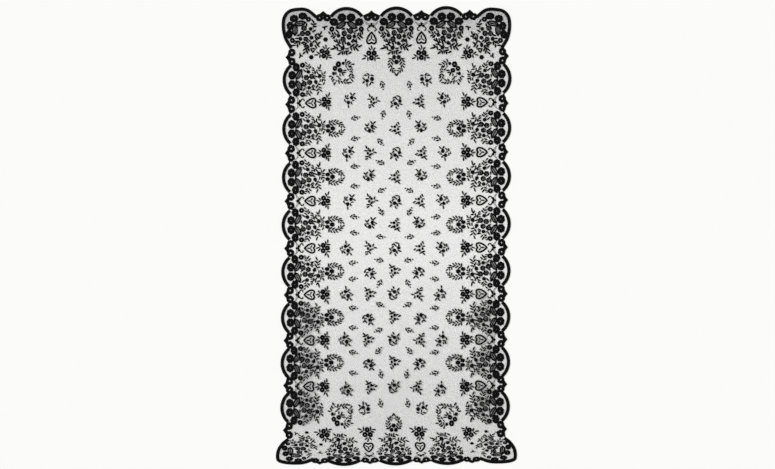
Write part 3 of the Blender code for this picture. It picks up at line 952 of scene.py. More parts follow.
def stems_between(chart):
    """Thin stems that tie each leaflet to the nearest part of its motif."""
    tied = [(item.across, item.inward) for item in chart if isinstance(item, Stitch)]
    loose = [item for item in chart if isinstance(item, Leaf)]
    if not tied:
        first = loose.pop(0)
        tied.append((first.across, first.inward))
    stems = []
    while loose:
        gap, anchor, leaf = min(
            (hypot(leaf.across - x, leaf.inward - y), (x, y), leaf) for leaf in loose for x, y in tied
        )
        loose.remove(leaf)
        middle = ((leaf.across + leaf.tip_across) / 2, (leaf.inward + leaf.tip_inward) / 2)
        tied += [(leaf.across, leaf.inward), middle]
        if gap < LONGEST_STEM:
            stems.append((anchor, (leaf.across, leaf.inward)))
    return stems


def worked(name, chart, kit, stemmed=True, full=1.0):
    """An oval bud, ring, blossom or rose is turned before it is stretched, so that its petals turn and its
    width lies across."""
    parts = []
    full *= kit.sizes.fullness
    for item in chart:
        if isinstance(item, Leaf):
            run = Vector((item.tip_across - item.across, item.tip_inward - item.inward)) * MM
            middle = Vector((item.tip_across + item.across, item.tip_inward + item.inward)) * MM / 2
            width = min(kit.sizes.leaflet_width, run.length * LEAFLET_SHARE) * full
            length = run.length * full + LEAFLET_OVERLAP
            parts.append(kit.copy("leaflet", middle.x, middle.y, width, length, atan2(-run.x, run.y)))
        else:
            size = (item.wide * MM * full, item.long * MM * full)
            turn = radians(item.turn)
            if item.kind in ("bud", "ring", "blossom", "rose") and item.wide != item.long:
                parts.append(kit.copy(item.kind, 0, 0, 1, 1, turn))
                parts[-1].data.transform(Matrix.Diagonal((*size, 1, 1)))
                parts[-1].data.transform(Matrix.Translation((item.across * MM, item.inward * MM, 0)))
            else:
                parts.append(kit.copy(item.kind, item.across * MM, item.inward * MM, *size, turn))
    if stemmed:
        runs = [[(x * MM, y * MM) for x, y in stem] for stem in stems_between(chart)]
        if runs:
            parts.append(cords("stems", runs, kit.sizes.stem_width, STEM_HEIGHT, kit.finish["cord"]))
    return joined(parts, name)


def bent(spot, across, inward):
    """Where a chart's place lies on its border, in metres along and inward."""
    bend = spot.bend
    inward = inward * (bend.near + np.maximum(inward - bend.knee, 0.0) * bend.grow)
    return across + inward * bend.lean, inward


def places_of(mesh):
    """The places of a mesh's points, one to a row."""
    places = np.empty(len(mesh.vertices) * 3)
    mesh.vertices.foreach_get("co", places)
    return places.reshape(-1, 3)


def set_down(pattern, spot):
    """A copy of a motif on one spot of the cloth, squeezed or drawn out as its border is."""
    copy = copied(pattern, Matrix())
    mesh = copy.data
    places = places_of(mesh)
    across, inward = bent(spot, places[:, 0], places[:, 1])
    for axis in (0, 1):
        places[:, axis] = spot.origin[axis] + across * spot.along[axis] + inward * spot.inward[axis]
    mesh.vertices.foreach_set("co", places.ravel())
    if spot.along.cross(spot.inward) < 0:
        mesh.flip_normals()
    return copy


def wave_height(x, y):
    """How far the cloth stands off the surface: soft ridges and a ripple that fade out before the rim."""
    height = np.zeros_like(x)
    for ridge in RIDGES:
        run = Vector((ridge.x1 - ridge.x0, ridge.y1 - ridge.y0))
        share = ((x - ridge.x0) * run.x + (y - ridge.y0) * run.y) / run.length_squared
        share = share.clip(0.0, 1.0)
        away = np.hypot(x - ridge.x0 - run.x * share, y - ridge.y0 - run.y * share)
        height = np.maximum(height, ridge.height * np.exp(-((away / ridge.half_width) ** 2)))
    ripple = RIPPLE_HEIGHT * (1 + np.sin(x * 23 + y * 9) * np.sin(y * 17 - x * 6))
    margin = np.minimum(FLAT_X - np.abs(x), FLAT_Y - np.abs(y)) / FLAT_FADE
    return (height + ripple) * margin.clip(0.0, 1.0) ** 1.5


def lay(obj, level):
    """Lays a finished piece on the cloth's own waves, its lowest thread at a level."""
    mesh = obj.data
    places = places_of(mesh)
    places[:, 2] += level + wave_height(places[:, 0], places[:, 1])
    mesh.vertices.foreach_set("co", places.ravel())
    mesh.update()


def hand_over(obj, name, level, nodes=()):
    """Names a finished piece, lays it down and ties it to the frame."""
    lay(obj, level)
    obj.name = name
    obj.data.name = name
    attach(obj, "root")
    if nodes:
        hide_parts(*nodes)


def hand_over_motifs(name, parts):
    """Joins the motifs of one piece and hands it over."""
    hand_over(joined(parts, name), name, STITCH_LEVEL)


# The outline of the cloth.


def at(origin, along, inward, place):
    """The point at (along, inward) of a local frame on the edge."""
    return origin + along * place[0] + inward * place[1]


def on_edge(edge, place, reach):
    """A point of one side from its place along the side and its distance from the middle line."""
    return edge.axis * place - edge.inward * reach


def crown_arc(crown, valley, along, inward, inset):
    """Points from a scallop's crown round to its valley, on a circle tangent to the edge there."""
    run, drop = (valley - crown).dot(along), (valley - crown).dot(inward)
    radius = (run * run + drop * drop) / (2 * drop)
    sweep = asin(min(1.0, abs(run) / radius))
    side = 1 if run > 0 else -1
    points = []
    for step in range(ARC_STEPS + 1):
        angle = sweep * step / ARC_STEPS
        place = (side * (radius - inset) * sin(angle), radius - (radius - inset) * cos(angle))
        points.append(at(crown, along, inward, place))
    return points


def smooth(points):
    """A smooth curve through a few points."""
    knots = [Vector(point) for point in points]
    knots = [knots[0] * 2 - knots[1], *knots, knots[-1] * 2 - knots[-2]]
    curve = []
    for before, first, last, after in zip(knots, knots[1:], knots[2:], knots[3:]):
        for step in range(LOBE_STEPS):
            t = step / LOBE_STEPS
            curve.append(
                0.5 * (
                    first * 2
                    + (last - before) * t
                    + (before * 2 - first * 5 + last * 4 - after) * t ** 2
                    + (first * 3 - before - last * 3 + after) * t ** 3
                )
            )
    return [*curve, knots[-2]]


def moved_inward(path, distance):
    """A clockwise path moved towards the middle of the cloth."""
    moved = []
    for index, point in enumerate(path):
        before, after = path[max(index - 1, 0)], path[min(index + 1, len(path) - 1)]
        heading = (after - before).normalized()
        moved.append(point + Vector((heading.y, -heading.x)) * distance)
    return moved


def lobe_band(lobe, forward):
    """A corner lobe's outer and inner path, run clockwise."""
    outer = smooth(lobe.curve if forward else lobe.curve[::-1])
    return outer, moved_inward(outer, BRAID_WIDTH)


def picot_roof(edge, picot, first, last):
    """A picot's outer path between two valleys, and the foot line that its close stitch runs down to."""
    shoulder = picot.foot + (picot.reach - picot.foot) * PICOT_SHOULDER_SHARE
    outer = [
        first,
        on_edge(edge, picot.place - edge.travel * PICOT_SHOULDER, shoulder),
        on_edge(edge, picot.place, picot.reach),
        on_edge(edge, picot.place + edge.travel * PICOT_SHOULDER, shoulder),
        last,
    ]
    inner = [first + edge.inward * 3 * ROOF_OVERLAP]
    for point in outer[1:-1]:
        inner.append(on_edge(edge, point.dot(edge.axis), picot.foot - ROOF_OVERLAP))
    inner.append(last + edge.inward * 3 * ROOF_OVERLAP)
    return outer, inner


def edge_bands(edge, start, finish):
    """One side's picot roofs and scallop bands between two corner lobes, clockwise."""
    along = edge.axis * edge.travel
    roofs, bands, valley = [], [], start
    for scallop, picot, following in zip([*edge.scallops, None], edge.picots, [*edge.picots[1:], None]):
        if scallop:
            next_valley = on_edge(edge, scallop.place - edge.travel * edge.half_chord, picot.foot)
        else:
            next_valley = finish
        roofs.append(picot_roof(edge, picot, valley, next_valley))
        if scallop:
            crown = on_edge(edge, scallop.place, scallop.reach)
            valley = on_edge(edge, scallop.place + edge.travel * edge.half_chord, following.foot)
            paths = []
            for inset in (0.0, BRAID_WIDTH):
                before = crown_arc(crown, next_valley, along, edge.inward, inset)
                after = crown_arc(crown, valley, along, edge.inward, inset)
                paths.append(before[:0:-1] + after)
            bands.append(tuple(paths))
    return roofs, bands


# One length of the rim: its corner lobes' and scallops' bands, its picots' roofs, and its outer path.
Length = namedtuple("Length", "edge bands roofs outer")


def whole_edge():
    """The four lengths of the rim, clockwise from the top left."""
    top_left, top_right = lobe_band(TOP_LEFT, True), lobe_band(TOP_RIGHT, False)
    bottom_right, bottom_left = lobe_band(BOTTOM_RIGHT, True), lobe_band(BOTTOM_LEFT, False)
    lengths = []
    for edge, before, after in (
        (TOP_EDGE, top_left, top_right),
        (RIGHT_EDGE, top_right, bottom_right),
        (BOTTOM_EDGE, bottom_right, bottom_left),
        (LEFT_EDGE, bottom_left, top_left),
    ):
        roofs, bands = edge_bands(edge, before[0][-1], after[0][0])
        outer = []
        for roof, band in zip(roofs, [*bands, ((), ())]):
            outer += [*roof[0][:-1], *band[0][:-1]]
        outer.append(after[0][0])
        if edge in (TOP_EDGE, BOTTOM_EDGE):
            outer = before[0][:-1] + outer + after[0][1:]
            bands = [before, *bands, after]
        lengths.append(Length(edge, bands, roofs, outer))
    return lengths


LENGTHS = whole_edge()


def inset_loop(points, distance):
    """A closed clockwise loop moved inward by a small distance."""
    moved = []
    for index, point in enumerate(points):
        before = (point - points[index - 1]).normalized()
        after = (points[(index + 1) % len(points)] - point).normalized()
        normal_before, normal_after = Vector((before.y, -before.x)), Vector((after.y, -after.x))
        bisector = (normal_before + normal_after).normalized()
        moved.append(point + bisector * distance / max(0.5, bisector.dot(normal_after)))
    return moved


def chart_run(edge, place):
    """Which way a border's chart runs at a place: to the right on the ends, and on the long sides down
    above the border's turning line and up below it."""
    if edge.axis == RIGHT:
        return RIGHT
    return DOWN if place > BORDER_TURNING_LINE else UP


def scallop_spots():
    """The frames of the scallops, at their crowns."""
    spots = []
    for edge in EDGES:
        for scallop in edge.scallops:
            crown = on_edge(edge, scallop.place, scallop.reach)
            spots.append(Spot(crown, chart_run(edge, scallop.place), edge.inward, edge.bend))
    return spots


def nearest_row(rows, y):
    """The row of sprigs nearest to a height on the cloth."""
    return min(rows, key=lambda row: abs(row.y - y))


def heart_spots(pull):
    """The frames behind the picots that lie between two scallops, on the line of their crowns. On the long
    sides they are pulled towards the nearest row of sprigs."""
    spots = []
    for edge in EDGES:
        for picot, before, after in zip(edge.picots[1:], edge.scallops, edge.scallops[1:]):
            place = picot.place
            if edge.axis == UP:
                place += (nearest_row(PICOT_ROWS, place).y - place) * pull
            crown_line = on_edge(edge, place, (before.reach + after.reach) / 2)
            spots.append(Spot(crown_line, chart_run(edge, place), edge.inward, edge.bend))
    return spots


def corner_spots():
    """The frames of the four corner lobes: across from the long side, inward from the end."""
    spots = []
    for lobe in LOBES:
        along, inward = LEFT if lobe.corner[0] > 0 else RIGHT, DOWN if lobe.corner[1] > 0 else UP
        spots.append(Spot(Vector(lobe.corner) - inward * lobe.shift, along, inward, lobe.bend))
    return spots


# Finishes, all from Object coordinates in metres. The thread's colour wanders between a darker and a lighter
# share of its own.
WANDER = 0.006
THREAD_DARK, THREAD_LIGHT, THREAD_SHINE, NET_ROUGHNESS = 0.6, 1.5, 0.06, 0.8

# The net's thread widens away from the middle band of the cloth and more along the top, so the net darkens
# towards the ends: where each starts, and by how many widths of its thread it gains for each metre.
BAND_MIDDLE, BAND_HALF_WIDTH, BAND_GAIN = 0.04, 0.1, 1.55
TOP_START, TOP_GAIN = 0.84, 13.0


class Tree:
    """A material's node tree with short ways to add and link nodes."""

    def __init__(self, name):
        self.material = bpy.data.materials.new(name)
        self.material.use_nodes = True
        self.nodes = self.material.node_tree.nodes
        self.links = self.material.node_tree.links
        self.shader = self.nodes["Principled BSDF"]

    def add(self, kind, **settings):
        """A new node with its settings."""
        node = self.nodes.new(kind)
        for key, value in settings.items():
            setattr(node, key, value)
        return node

    def feed(self, socket, value):
        """Gives a socket a number, or a link from another node."""
        if isinstance(value, (int, float)):
            socket.default_value = value
        else:
            self.links.new(value, socket)

    def math(self, operation, first, second=None, third=None):
        """The outcome of one sum on numbers or other nodes."""
        node = self.add("ShaderNodeMath", operation=operation)
        for socket, value in zip(node.inputs, (first, second, third)):
            if value is not None:
                self.feed(socket, value)
        return node.outputs[0]

    def off_half(self, value):
        """How far a value's fraction lies from one half."""
        return self.math("ABSOLUTE", self.math("SUBTRACT", self.math("FRACT", value), 0.5))

    def noise(self, coordinates, scale, detail):
        """Soft noise over the cloth."""
        noise = self.add("ShaderNodeTexNoise")
        noise.inputs["Scale"].default_value = scale
        noise.inputs["Detail"].default_value = detail
        self.links.new(coordinates, noise.inputs["Vector"])
        return noise

    def mottle(self, noise, dark, light):
        """Gives the surface a colour that wanders between two with the noise."""
        mix = self.add("ShaderNodeMix", data_type="RGBA")
        self.links.new(noise.outputs["Fac"], mix.inputs["Factor"])
        mix.inputs["A"].default_value = (*dark, 1.0)
        mix.inputs["B"].default_value = (*light, 1.0)
        self.links.new(mix.outputs["Result"], self.shader.inputs["Base Color"])

    def surface(self, roughness, shine):
        """Gives the surface its roughness and shine."""
        self.shader.inputs["Roughness"].default_value = roughness
        self.shader.inputs["Specular IOR Level"].default_value = shine

    def place(self):
        """X and Y on the cloth, wandering a little as a laid net does, and the plain coordinates."""
        coordinates = self.add("ShaderNodeTexCoord").outputs["Object"]
        noise = self.noise(coordinates, 9.0, 1.0)
        offset = self.add("ShaderNodeVectorMath", operation="MULTIPLY_ADD")
        self.links.new(noise.outputs["Color"], offset.inputs[0])
        offset.inputs[1].default_value = (WANDER, WANDER, 0.0)
        self.links.new(coordinates, offset.inputs[2])
        parts = self.add("ShaderNodeSeparateXYZ")
        self.links.new(offset.outputs[0], parts.inputs[0])
        return parts.outputs["X"], parts.outputs["Y"], coordinates


def shades(colour, dark, light):
    """A darker and a lighter shade of a colour."""
    return [channel * dark for channel in colour], [channel * light for channel in colour]


def thread_finish(tree, look, coordinates, scale, roughness=NET_ROUGHNESS):
    """Black thread that varies slightly from stretch to stretch."""
    tree.mottle(tree.noise(coordinates, scale, 3.0), *shades(look.thread_colour, THREAD_DARK, THREAD_LIGHT))
    tree.surface(roughness, THREAD_SHINE)


def hexagon_distance(tree, x, y, shift):
    """Distance from a hexagon's middle, 0.5 at its sides, for one of the two sets of hexagons."""
    root3 = 3 ** 0.5
    across = tree.off_half(tree.math("ADD", x, shift))
    up = tree.off_half(tree.math("ADD", tree.math("DIVIDE", y, root3), shift))
    slanted = tree.math("MULTIPLY_ADD", up, root3 * root3 / 2, tree.math("MULTIPLY", across, 0.5))
    return tree.math("MAXIMUM", across, slanted)


def net_finish(look):
    """Open hexagonal net of fine black thread, whose thread widens towards the ends of the cloth."""
    tree = Tree("net")
    x, rows, coordinates = tree.place()
    x = tree.math("MULTIPLY", x, 1 / look.net_pitch)
    y = tree.math("MULTIPLY", rows, 1 / look.net_pitch)
    nearest = tree.math("MINIMUM", hexagon_distance(tree, x, y, 0.0), hexagon_distance(tree, x, y, 0.5))
    half_thread = look.net_thread / look.net_pitch / 2
    # Past the middle band, and more along the top, the thread widens, so the net darkens towards the ends.
    away = tree.math("ABSOLUTE", tree.math("SUBTRACT", rows, BAND_MIDDLE))
    past_band = tree.math("MAXIMUM", tree.math("SUBTRACT", away, BAND_HALF_WIDTH), 0.0)
    reach = tree.math("MULTIPLY_ADD", past_band, BAND_GAIN * half_thread, half_thread)
    top = tree.math("MAXIMUM", tree.math("SUBTRACT", rows, TOP_START), 0.0)
    reach = tree.math("MULTIPLY_ADD", top, TOP_GAIN * half_thread, reach)
    thread = tree.math("GREATER_THAN", tree.math("ADD", nearest, reach), 0.5)
    tree.links.new(thread, tree.shader.inputs["Alpha"])
    thread_finish(tree, look, coordinates, 160.0)
    return tree.material


def half_stitch_finish(look):
    """Half stitch: a close slanted lattice of thread that lets some light through."""
    tree = Tree("half_stitch")
    x, y, coordinates = tree.place()
    threads = []
    for sign in (1, -1):
        lane = tree.math("MULTIPLY_ADD", y, sign, x)
        share = tree.math("FRACT", tree.math("MULTIPLY", lane, 1 / look.lattice_pitch))
        threads.append(tree.math("LESS_THAN", share, look.lattice_cover))
    tree.links.new(tree.math("MAXIMUM", *threads), tree.shader.inputs["Alpha"])
    thread_finish(tree, look, coordinates, 200.0)
    return tree.material


def woven_finish(look, name, pitch, depth, roughness):
    """Close cloth stitch or wound cord: black thread with a woven relief."""
    tree = Tree(name)
    x, y, coordinates = tree.place()
    waves = [
        tree.math("SINE", tree.math("MULTIPLY", lane, 2 * pi / pitch))
        for lane in (tree.math("ADD", x, y), tree.math("SUBTRACT", x, y))
    ]
    weave = tree.math("MULTIPLY", *waves)
    bump = tree.add("ShaderNodeBump")
    bump.inputs["Distance"].default_value = depth
    bump.inputs["Strength"].default_value = 0.8
    tree.links.new(weave, bump.inputs["Height"])
    tree.links.new(bump.outputs["Normal"], tree.shader.inputs["Normal"])
    thread_finish(tree, look, coordinates, 120.0, roughness)
    return tree.material


def floor_finish(colour):
    """A plain pale surface with a faint mottle."""
    tree = Tree("floor")
    coordinates = tree.add("ShaderNodeTexCoord").outputs["Object"]
    tree.mottle(tree.noise(coordinates, 30.0, 2.0), *shades(colour, 0.995, 1.005))
    tree.surface(0.9, 0.0)
    return tree.material


FINISHES = {}


def finishes(look):
    """The cloth's finishes, made once."""
    if not FINISHES:
        FINISHES["net"] = net_finish(look)
        FINISHES["half_stitch"] = half_stitch_finish(look)
        FINISHES["cloth_stitch"] = woven_finish(
            look, "cloth_stitch", pitch=0.0009, depth=0.00012, roughness=0.72
        )
        FINISHES["cord"] = woven_finish(look, "cord", pitch=0.0006, depth=0.00010, roughness=0.6)
    return FINISHES


# The sizes and colours that a user would change.


def length_property(name, description, default):
    """A property that holds a size in metres."""
    return FloatProperty(name=name, description=description, default=default, unit="LENGTH")


class MantillaSizes(PropertyGroup):
    """Sizes of the worked elements of the lace."""

    leaflet_length: length_property("Leaflet length", "Length of a small leaf", 0.0140)
    leaflet_width: length_property("Leaflet width", "Greatest width of a small leaf", 0.0062)
    bud_size: length_property("Bud size", "Width of a bud", 0.0150)
    ring_size: length_property("Ring size", "Width of a ring", 0.0220)
    blossom_size: length_property("Blossom size", "Width of a border blossom", 0.0350)
    rose_size: length_property("Rose size", "Width of a rose", 0.0230)
    long_leaf_length: length_property("Long leaf length", "Length of a long leaf", 0.0520)
    long_leaf_width: length_property("Long leaf width", "Width of a long leaf", 0.0240)
    heart_length: length_property("Heart length", "Length of a heart", 0.0510)
    heart_width: length_property("Heart width", "Width of a heart", 0.0480)
    hook_width: length_property("Hook width", "Width of the hooks over a heart", 0.0048)
    stem_width: length_property("Stem width", "Width of a stem's thread", 0.0015)
    rim_cord: length_property("Rim cord", "Width of the cords of the rim", 0.0036)
    fullness: FloatProperty(
        name="Fullness", description="Size of the elements against their charts", default=1.07
    )
    net_mesh: length_property("Net mesh", "Gap between the sheet's points", 0.0130)


class MantillaLook(PropertyGroup):
    """Colours and weave of the lace."""

    thread_colour: FloatVectorProperty(
        name="Thread colour", description="Colour of the black thread", subtype="COLOR", size=3,
        default=(0.0025, 0.0025, 0.0027),
    )
    net_pitch: length_property("Net pitch", "Distance across one mesh of the net", 0.0022)
    net_thread: length_property("Net thread", "Width of the net's thread in the middle", 0.000065)
    lattice_pitch: length_property("Lattice pitch", "Gap of the half stitch", 0.0016)
    lattice_cover: FloatProperty(
        name="Lattice cover", description="Share of a lane that is thread", default=0.18, subtype="FACTOR"
    )


class MantillaStage(PropertyGroup):
    """The surface, the light and the camera."""

    floor_colour: FloatVectorProperty(
        name="Floor colour", description="Colour of the pale surface", subtype="COLOR", size=3,
        default=(0.90, 0.90, 0.895),
    )
    sky_light: FloatProperty(name="Sky light", description="Strength of the light all round", default=0.69)
    key_light: FloatProperty(
        name="Key light", description="Strength of the soft light from the left", default=2.7
    )
    camera_height: length_property("Camera height", "Height over the cloth", 9.0)


# The pieces.


class MANTILLA_OT_net(Operator):
    """Lay the net ground, one sheet inside the scalloped edge"""

    bl_idname = "mantilla.net"
    bl_label = "Net ground"

    def execute(self, context):
        gap = context.scene.mantilla_sizes.net_mesh
        outline = inset_loop([point for length in LENGTHS for point in length.outer[:-1]], NET_INSET)
        points = list(outline)
        for row in range(int(NET_LOW.y / gap) - 1, int(NET_HIGH.y / gap) + 2):
            for column in range(int(NET_LOW.x / gap) - 1, int(NET_HIGH.x / gap) + 2):
                points.append(Vector(((column + 0.5 * (row % 2)) * gap, row * gap)))
        loop = list(reversed(range(len(outline))))
        inside_only, closeness = 1, 1e-6
        found, _, faces, _, _, _ = delaunay_2d_cdt(points, [], [loop], inside_only, closeness)
        used = sorted({index for face in faces for index in face})
        place = {old: new for new, old in enumerate(used)}
        mesh = bpy.data.meshes.new("net_sheet")
        mesh.from_pydata(
            [(found[index].x, found[index].y, NET_THICKNESS) for index in used],
            [],
            [[place[index] for index in face] for face in faces],
        )
        net = bpy.data.objects.new("net_sheet", mesh)
        context.scene.collection.objects.link(net)
        clear_selection()
        net.select_set(True)
        context.view_layer.objects.active = net
        wall = net.modifiers.new("wall", "SOLIDIFY")
        wall.thickness = NET_THICKNESS
        wall.offset = -1.0
        bpy.ops.object.modifier_apply(modifier="wall")
        net.data.materials.append(finishes(context.scene.mantilla_look)["net"])
        hand_over(net, "net_sheet", NET_LEVEL, ["net_ground"])
        clear_selection()
        net.select_set(True)
        bpy.ops.object.shade_smooth_by_angle(angle=radians(40))
        return {"FINISHED"}


def band_plate(bands, finish):
    """The plate of close stitch that fills the rim between its cords."""
    plates = []
    for outer, inner in bands:
        count = len(outer)
        mesh = bpy.data.meshes.new("band")
        mesh.from_pydata(
            [(point.x, point.y, 0.0) for point in (*outer, *inner)],
            [],
            [(step, step + count, step + count + 1, step + 1) for step in range(count - 1)],
        )
        obj = bpy.data.objects.new("band", mesh)
        bpy.context.scene.collection.objects.link(obj)
        plates.append(obj)
    plate = joined(plates, "band_plate")
    bpy.ops.object.mode_set(mode="EDIT")
    bpy.ops.mesh.select_all(action="SELECT")
    raise_face(RIM_THICKNESS)
    return done(plate, "band_plate", finish["cloth_stitch"])


def runs_inside(bands, depth, gap):
    """Runs at a depth inside the outer paths of some bands, their points at even gaps."""
    return [resampled(moved_inward(outer, depth), gap) for outer, _ in bands]


class MANTILLA_OT_rim(Operator):
    """Work the scalloped rim in four lengths, with its cords, picots and rings"""

    bl_idname = "mantilla.rim"
    bl_label = "Scalloped rim"

    def execute(self, context):
        kit = Kit(["ring"], context.scene)
        cord = kit.finish["cord"]
        ring = worked("picot_ring", PICOT_RING, kit, stemmed=False)
        width = kit.sizes.rim_cord
        bead_gap = width * 0.75
        for edge, bands, roofs, outer in LENGTHS:
            outer_run = moved_inward(resampled(outer, bead_gap), width / 2)
            rim_runs = [outer_run, *runs_inside(bands, BRAID_WIDTH - width / 2, bead_gap)]
            middle_runs = runs_inside(bands, BRAID_WIDTH / 2, bead_gap)
            parts = [
                band_plate(bands, kit.finish),
                band_plate(roofs, kit.finish),
                cords("rim_cord", rim_runs, width, RIM_CORD_HEIGHT, cord, beads=0.1, sides=1),
                cords("middle_cord", middle_runs, width / 2, MIDDLE_CORD_HEIGHT, cord, beads=0.2, sides=1),
            ]
            squeeze = SQUEEZED_RINGS if edge == BOTTOM_EDGE else PLAIN_BEND
            for picot, (roof, _) in zip(edge.picots, roofs):
                valleys = ((roof[0] + roof[-1]) / 2).dot(edge.axis)
                for side in (-1, 1):
                    foot = on_edge(edge, (picot.place + valleys) / 2 + side * edge.ring_gap, picot.foot)
                    spot = Spot(foot, chart_run(edge, picot.place), edge.inward, squeeze)
                    parts.append(set_down(ring, spot))
            name = edge.name.replace("edge_braid", "rim")
            hand_over(joined(parts, "rim"), name, RIM_LEVEL, [edge.name])
        discard([ring])
        kit.put_away()
        return {"FINISHED"}


def border_fullness(name, y):
    """How full a border's elements are worked at a height: fuller sprays on top, smaller blossoms below."""
    if name == "border_sprays" and y > END_LINE:
        return TOP_SPRAY_FULLNESS
    if name == "border_blossoms" and y < -END_LINE:
        return BOTTOM_BLOSSOM_FULLNESS
    return 1.0


class MANTILLA_OT_border(Operator):
    """Work the blossoms, long leaves, roses and sprays of the scallops and the corner lobes"""

    bl_idname = "mantilla.border"
    bl_label = "Scallop motifs"

    def execute(self, context):
        kit = Kit(["blossom", "ring", "long_leaf", "rose", "bud", "leaflet"], context.scene)
        charts = {
            "border_blossoms": (SCALLOP_BLOSSOMS, CORNER_BLOSSOMS),
            "border_leaves": (SCALLOP_LEAVES, CORNER_LEAVES),
            "border_roses": (SCALLOP_ROSES, CORNER_ROSES),
            "border_sprays": (SCALLOP_SPRAYS, CORNER_SPRAYS),
        }
        for name, pair in charts.items():
            parts = []
            for chart, spots in zip(pair, (scallop_spots(), corner_spots())):
                groups = {}
                for spot in spots:
                    groups.setdefault(border_fullness(name, spot.origin.y), []).append(spot)
                for full, group in groups.items():
                    pattern = worked("pattern", chart, kit, name == "border_sprays", full)
                    parts += [set_down(pattern, spot) for spot in group]
                    discard([pattern])
            hand_over_motifs(name, parts)
        kit.put_away()
        return {"FINISHED"}


class MANTILLA_OT_hearts(Operator):
    """Work the crown, the heart and the ring sprig behind each picot"""

    bl_idname = "mantilla.hearts"
    bl_label = "Hearts and ring sprigs"

    def execute(self, context):
        kit = Kit(["bud", "leaflet", "heart", "ring"], context.scene)
        sizes, cord = kit.sizes, kit.finish["cord"]
        heart_group = joined(
            [
                worked("crown", PICOT_CROWN, kit, stemmed=False),
                cords("hooks", self.runs(PICOT_HOOKS), sizes.hook_width, HOOK_HEIGHT, cord, sides=1),
                cords("arcs", self.runs(PICOT_ARCS), sizes.stem_width, ARC_HEIGHT, cord),
                worked("heart_chart", HEART_CHART, kit, stemmed=False),
            ],
            "heart_group",
        )
        sprig = worked("sprig", RING_SPRIG, kit)
        hearts = [set_down(heart_group, spot) for spot in heart_spots(HEART_PULL)]
        sprigs = [set_down(sprig, spot) for spot in heart_spots(RING_SPRIG_PULL)]
        turn = CORNER_SPRIG_TURN
        for lobe, spot in zip(LOBES, corner_spots()):
            along = spot.along * cos(turn) + spot.inward * sin(turn)
            inward = spot.inward * cos(turn) - spot.along * sin(turn)
            middle = at(spot.origin, spot.along, spot.inward, lobe.sprig)
            sprig_spot = Spot(middle - inward * RING_SPRIG_MIDDLE, along, inward, PLAIN_BEND)
            sprigs.append(set_down(sprig, sprig_spot))
        hand_over_motifs("hearts", hearts)
        hand_over_motifs("ring_sprigs", sprigs)
        discard([heart_group, sprig])
        kit.put_away()
        return {"FINISHED"}

    def runs(self, chart):
        """Smooth runs through a chart's points."""
        return [smooth([(x * MM, y * MM) for x, y in run]) for run in chart]


class MANTILLA_OT_wreaths(Operator):
    """Work the wreaths inside the border"""

    bl_idname = "mantilla.wreaths"
    bl_label = "Wreaths"

    def execute(self, context):
        kit = Kit(["ring", "bud", "leaflet"], context.scene)
        corner = worked("corner_wreath", CORNER_WREATH, kit)
        side = worked("side_wreath", CENTRE_WREATH, kit, full=WREATH_FULLNESS)
        centre = worked("centre_wreath", CENTRE_WREATH + WREATH_TIP, kit, full=WREATH_FULLNESS)
        parts = []
        for pattern, wreaths in ((corner, CORNER_WREATHS), (centre, CENTRE_WREATHS)):
            for row in wreaths:
                spot = Spot(Vector((row.x, row.y)), RIGHT * row.flip_x, DOWN * row.flip_y, PLAIN_BEND)
                parts.append(set_down(pattern, spot))
        for edge in (LEFT_EDGE, RIGHT_EDGE):
            for scallop in edge.scallops[1:-1]:
                y = nearest_row(SCALLOP_ROWS, scallop.place).y
                place = on_edge(edge, y, scallop.reach - SIDE_WREATH_PLACE * edge.bend.near)
                parts.append(set_down(side, Spot(place, chart_run(edge, y), edge.inward, PLAIN_BEND)))
        hand_over_motifs("wreaths", parts)
        discard([corner, centre, side])
        kit.put_away()
        return {"FINISHED"}


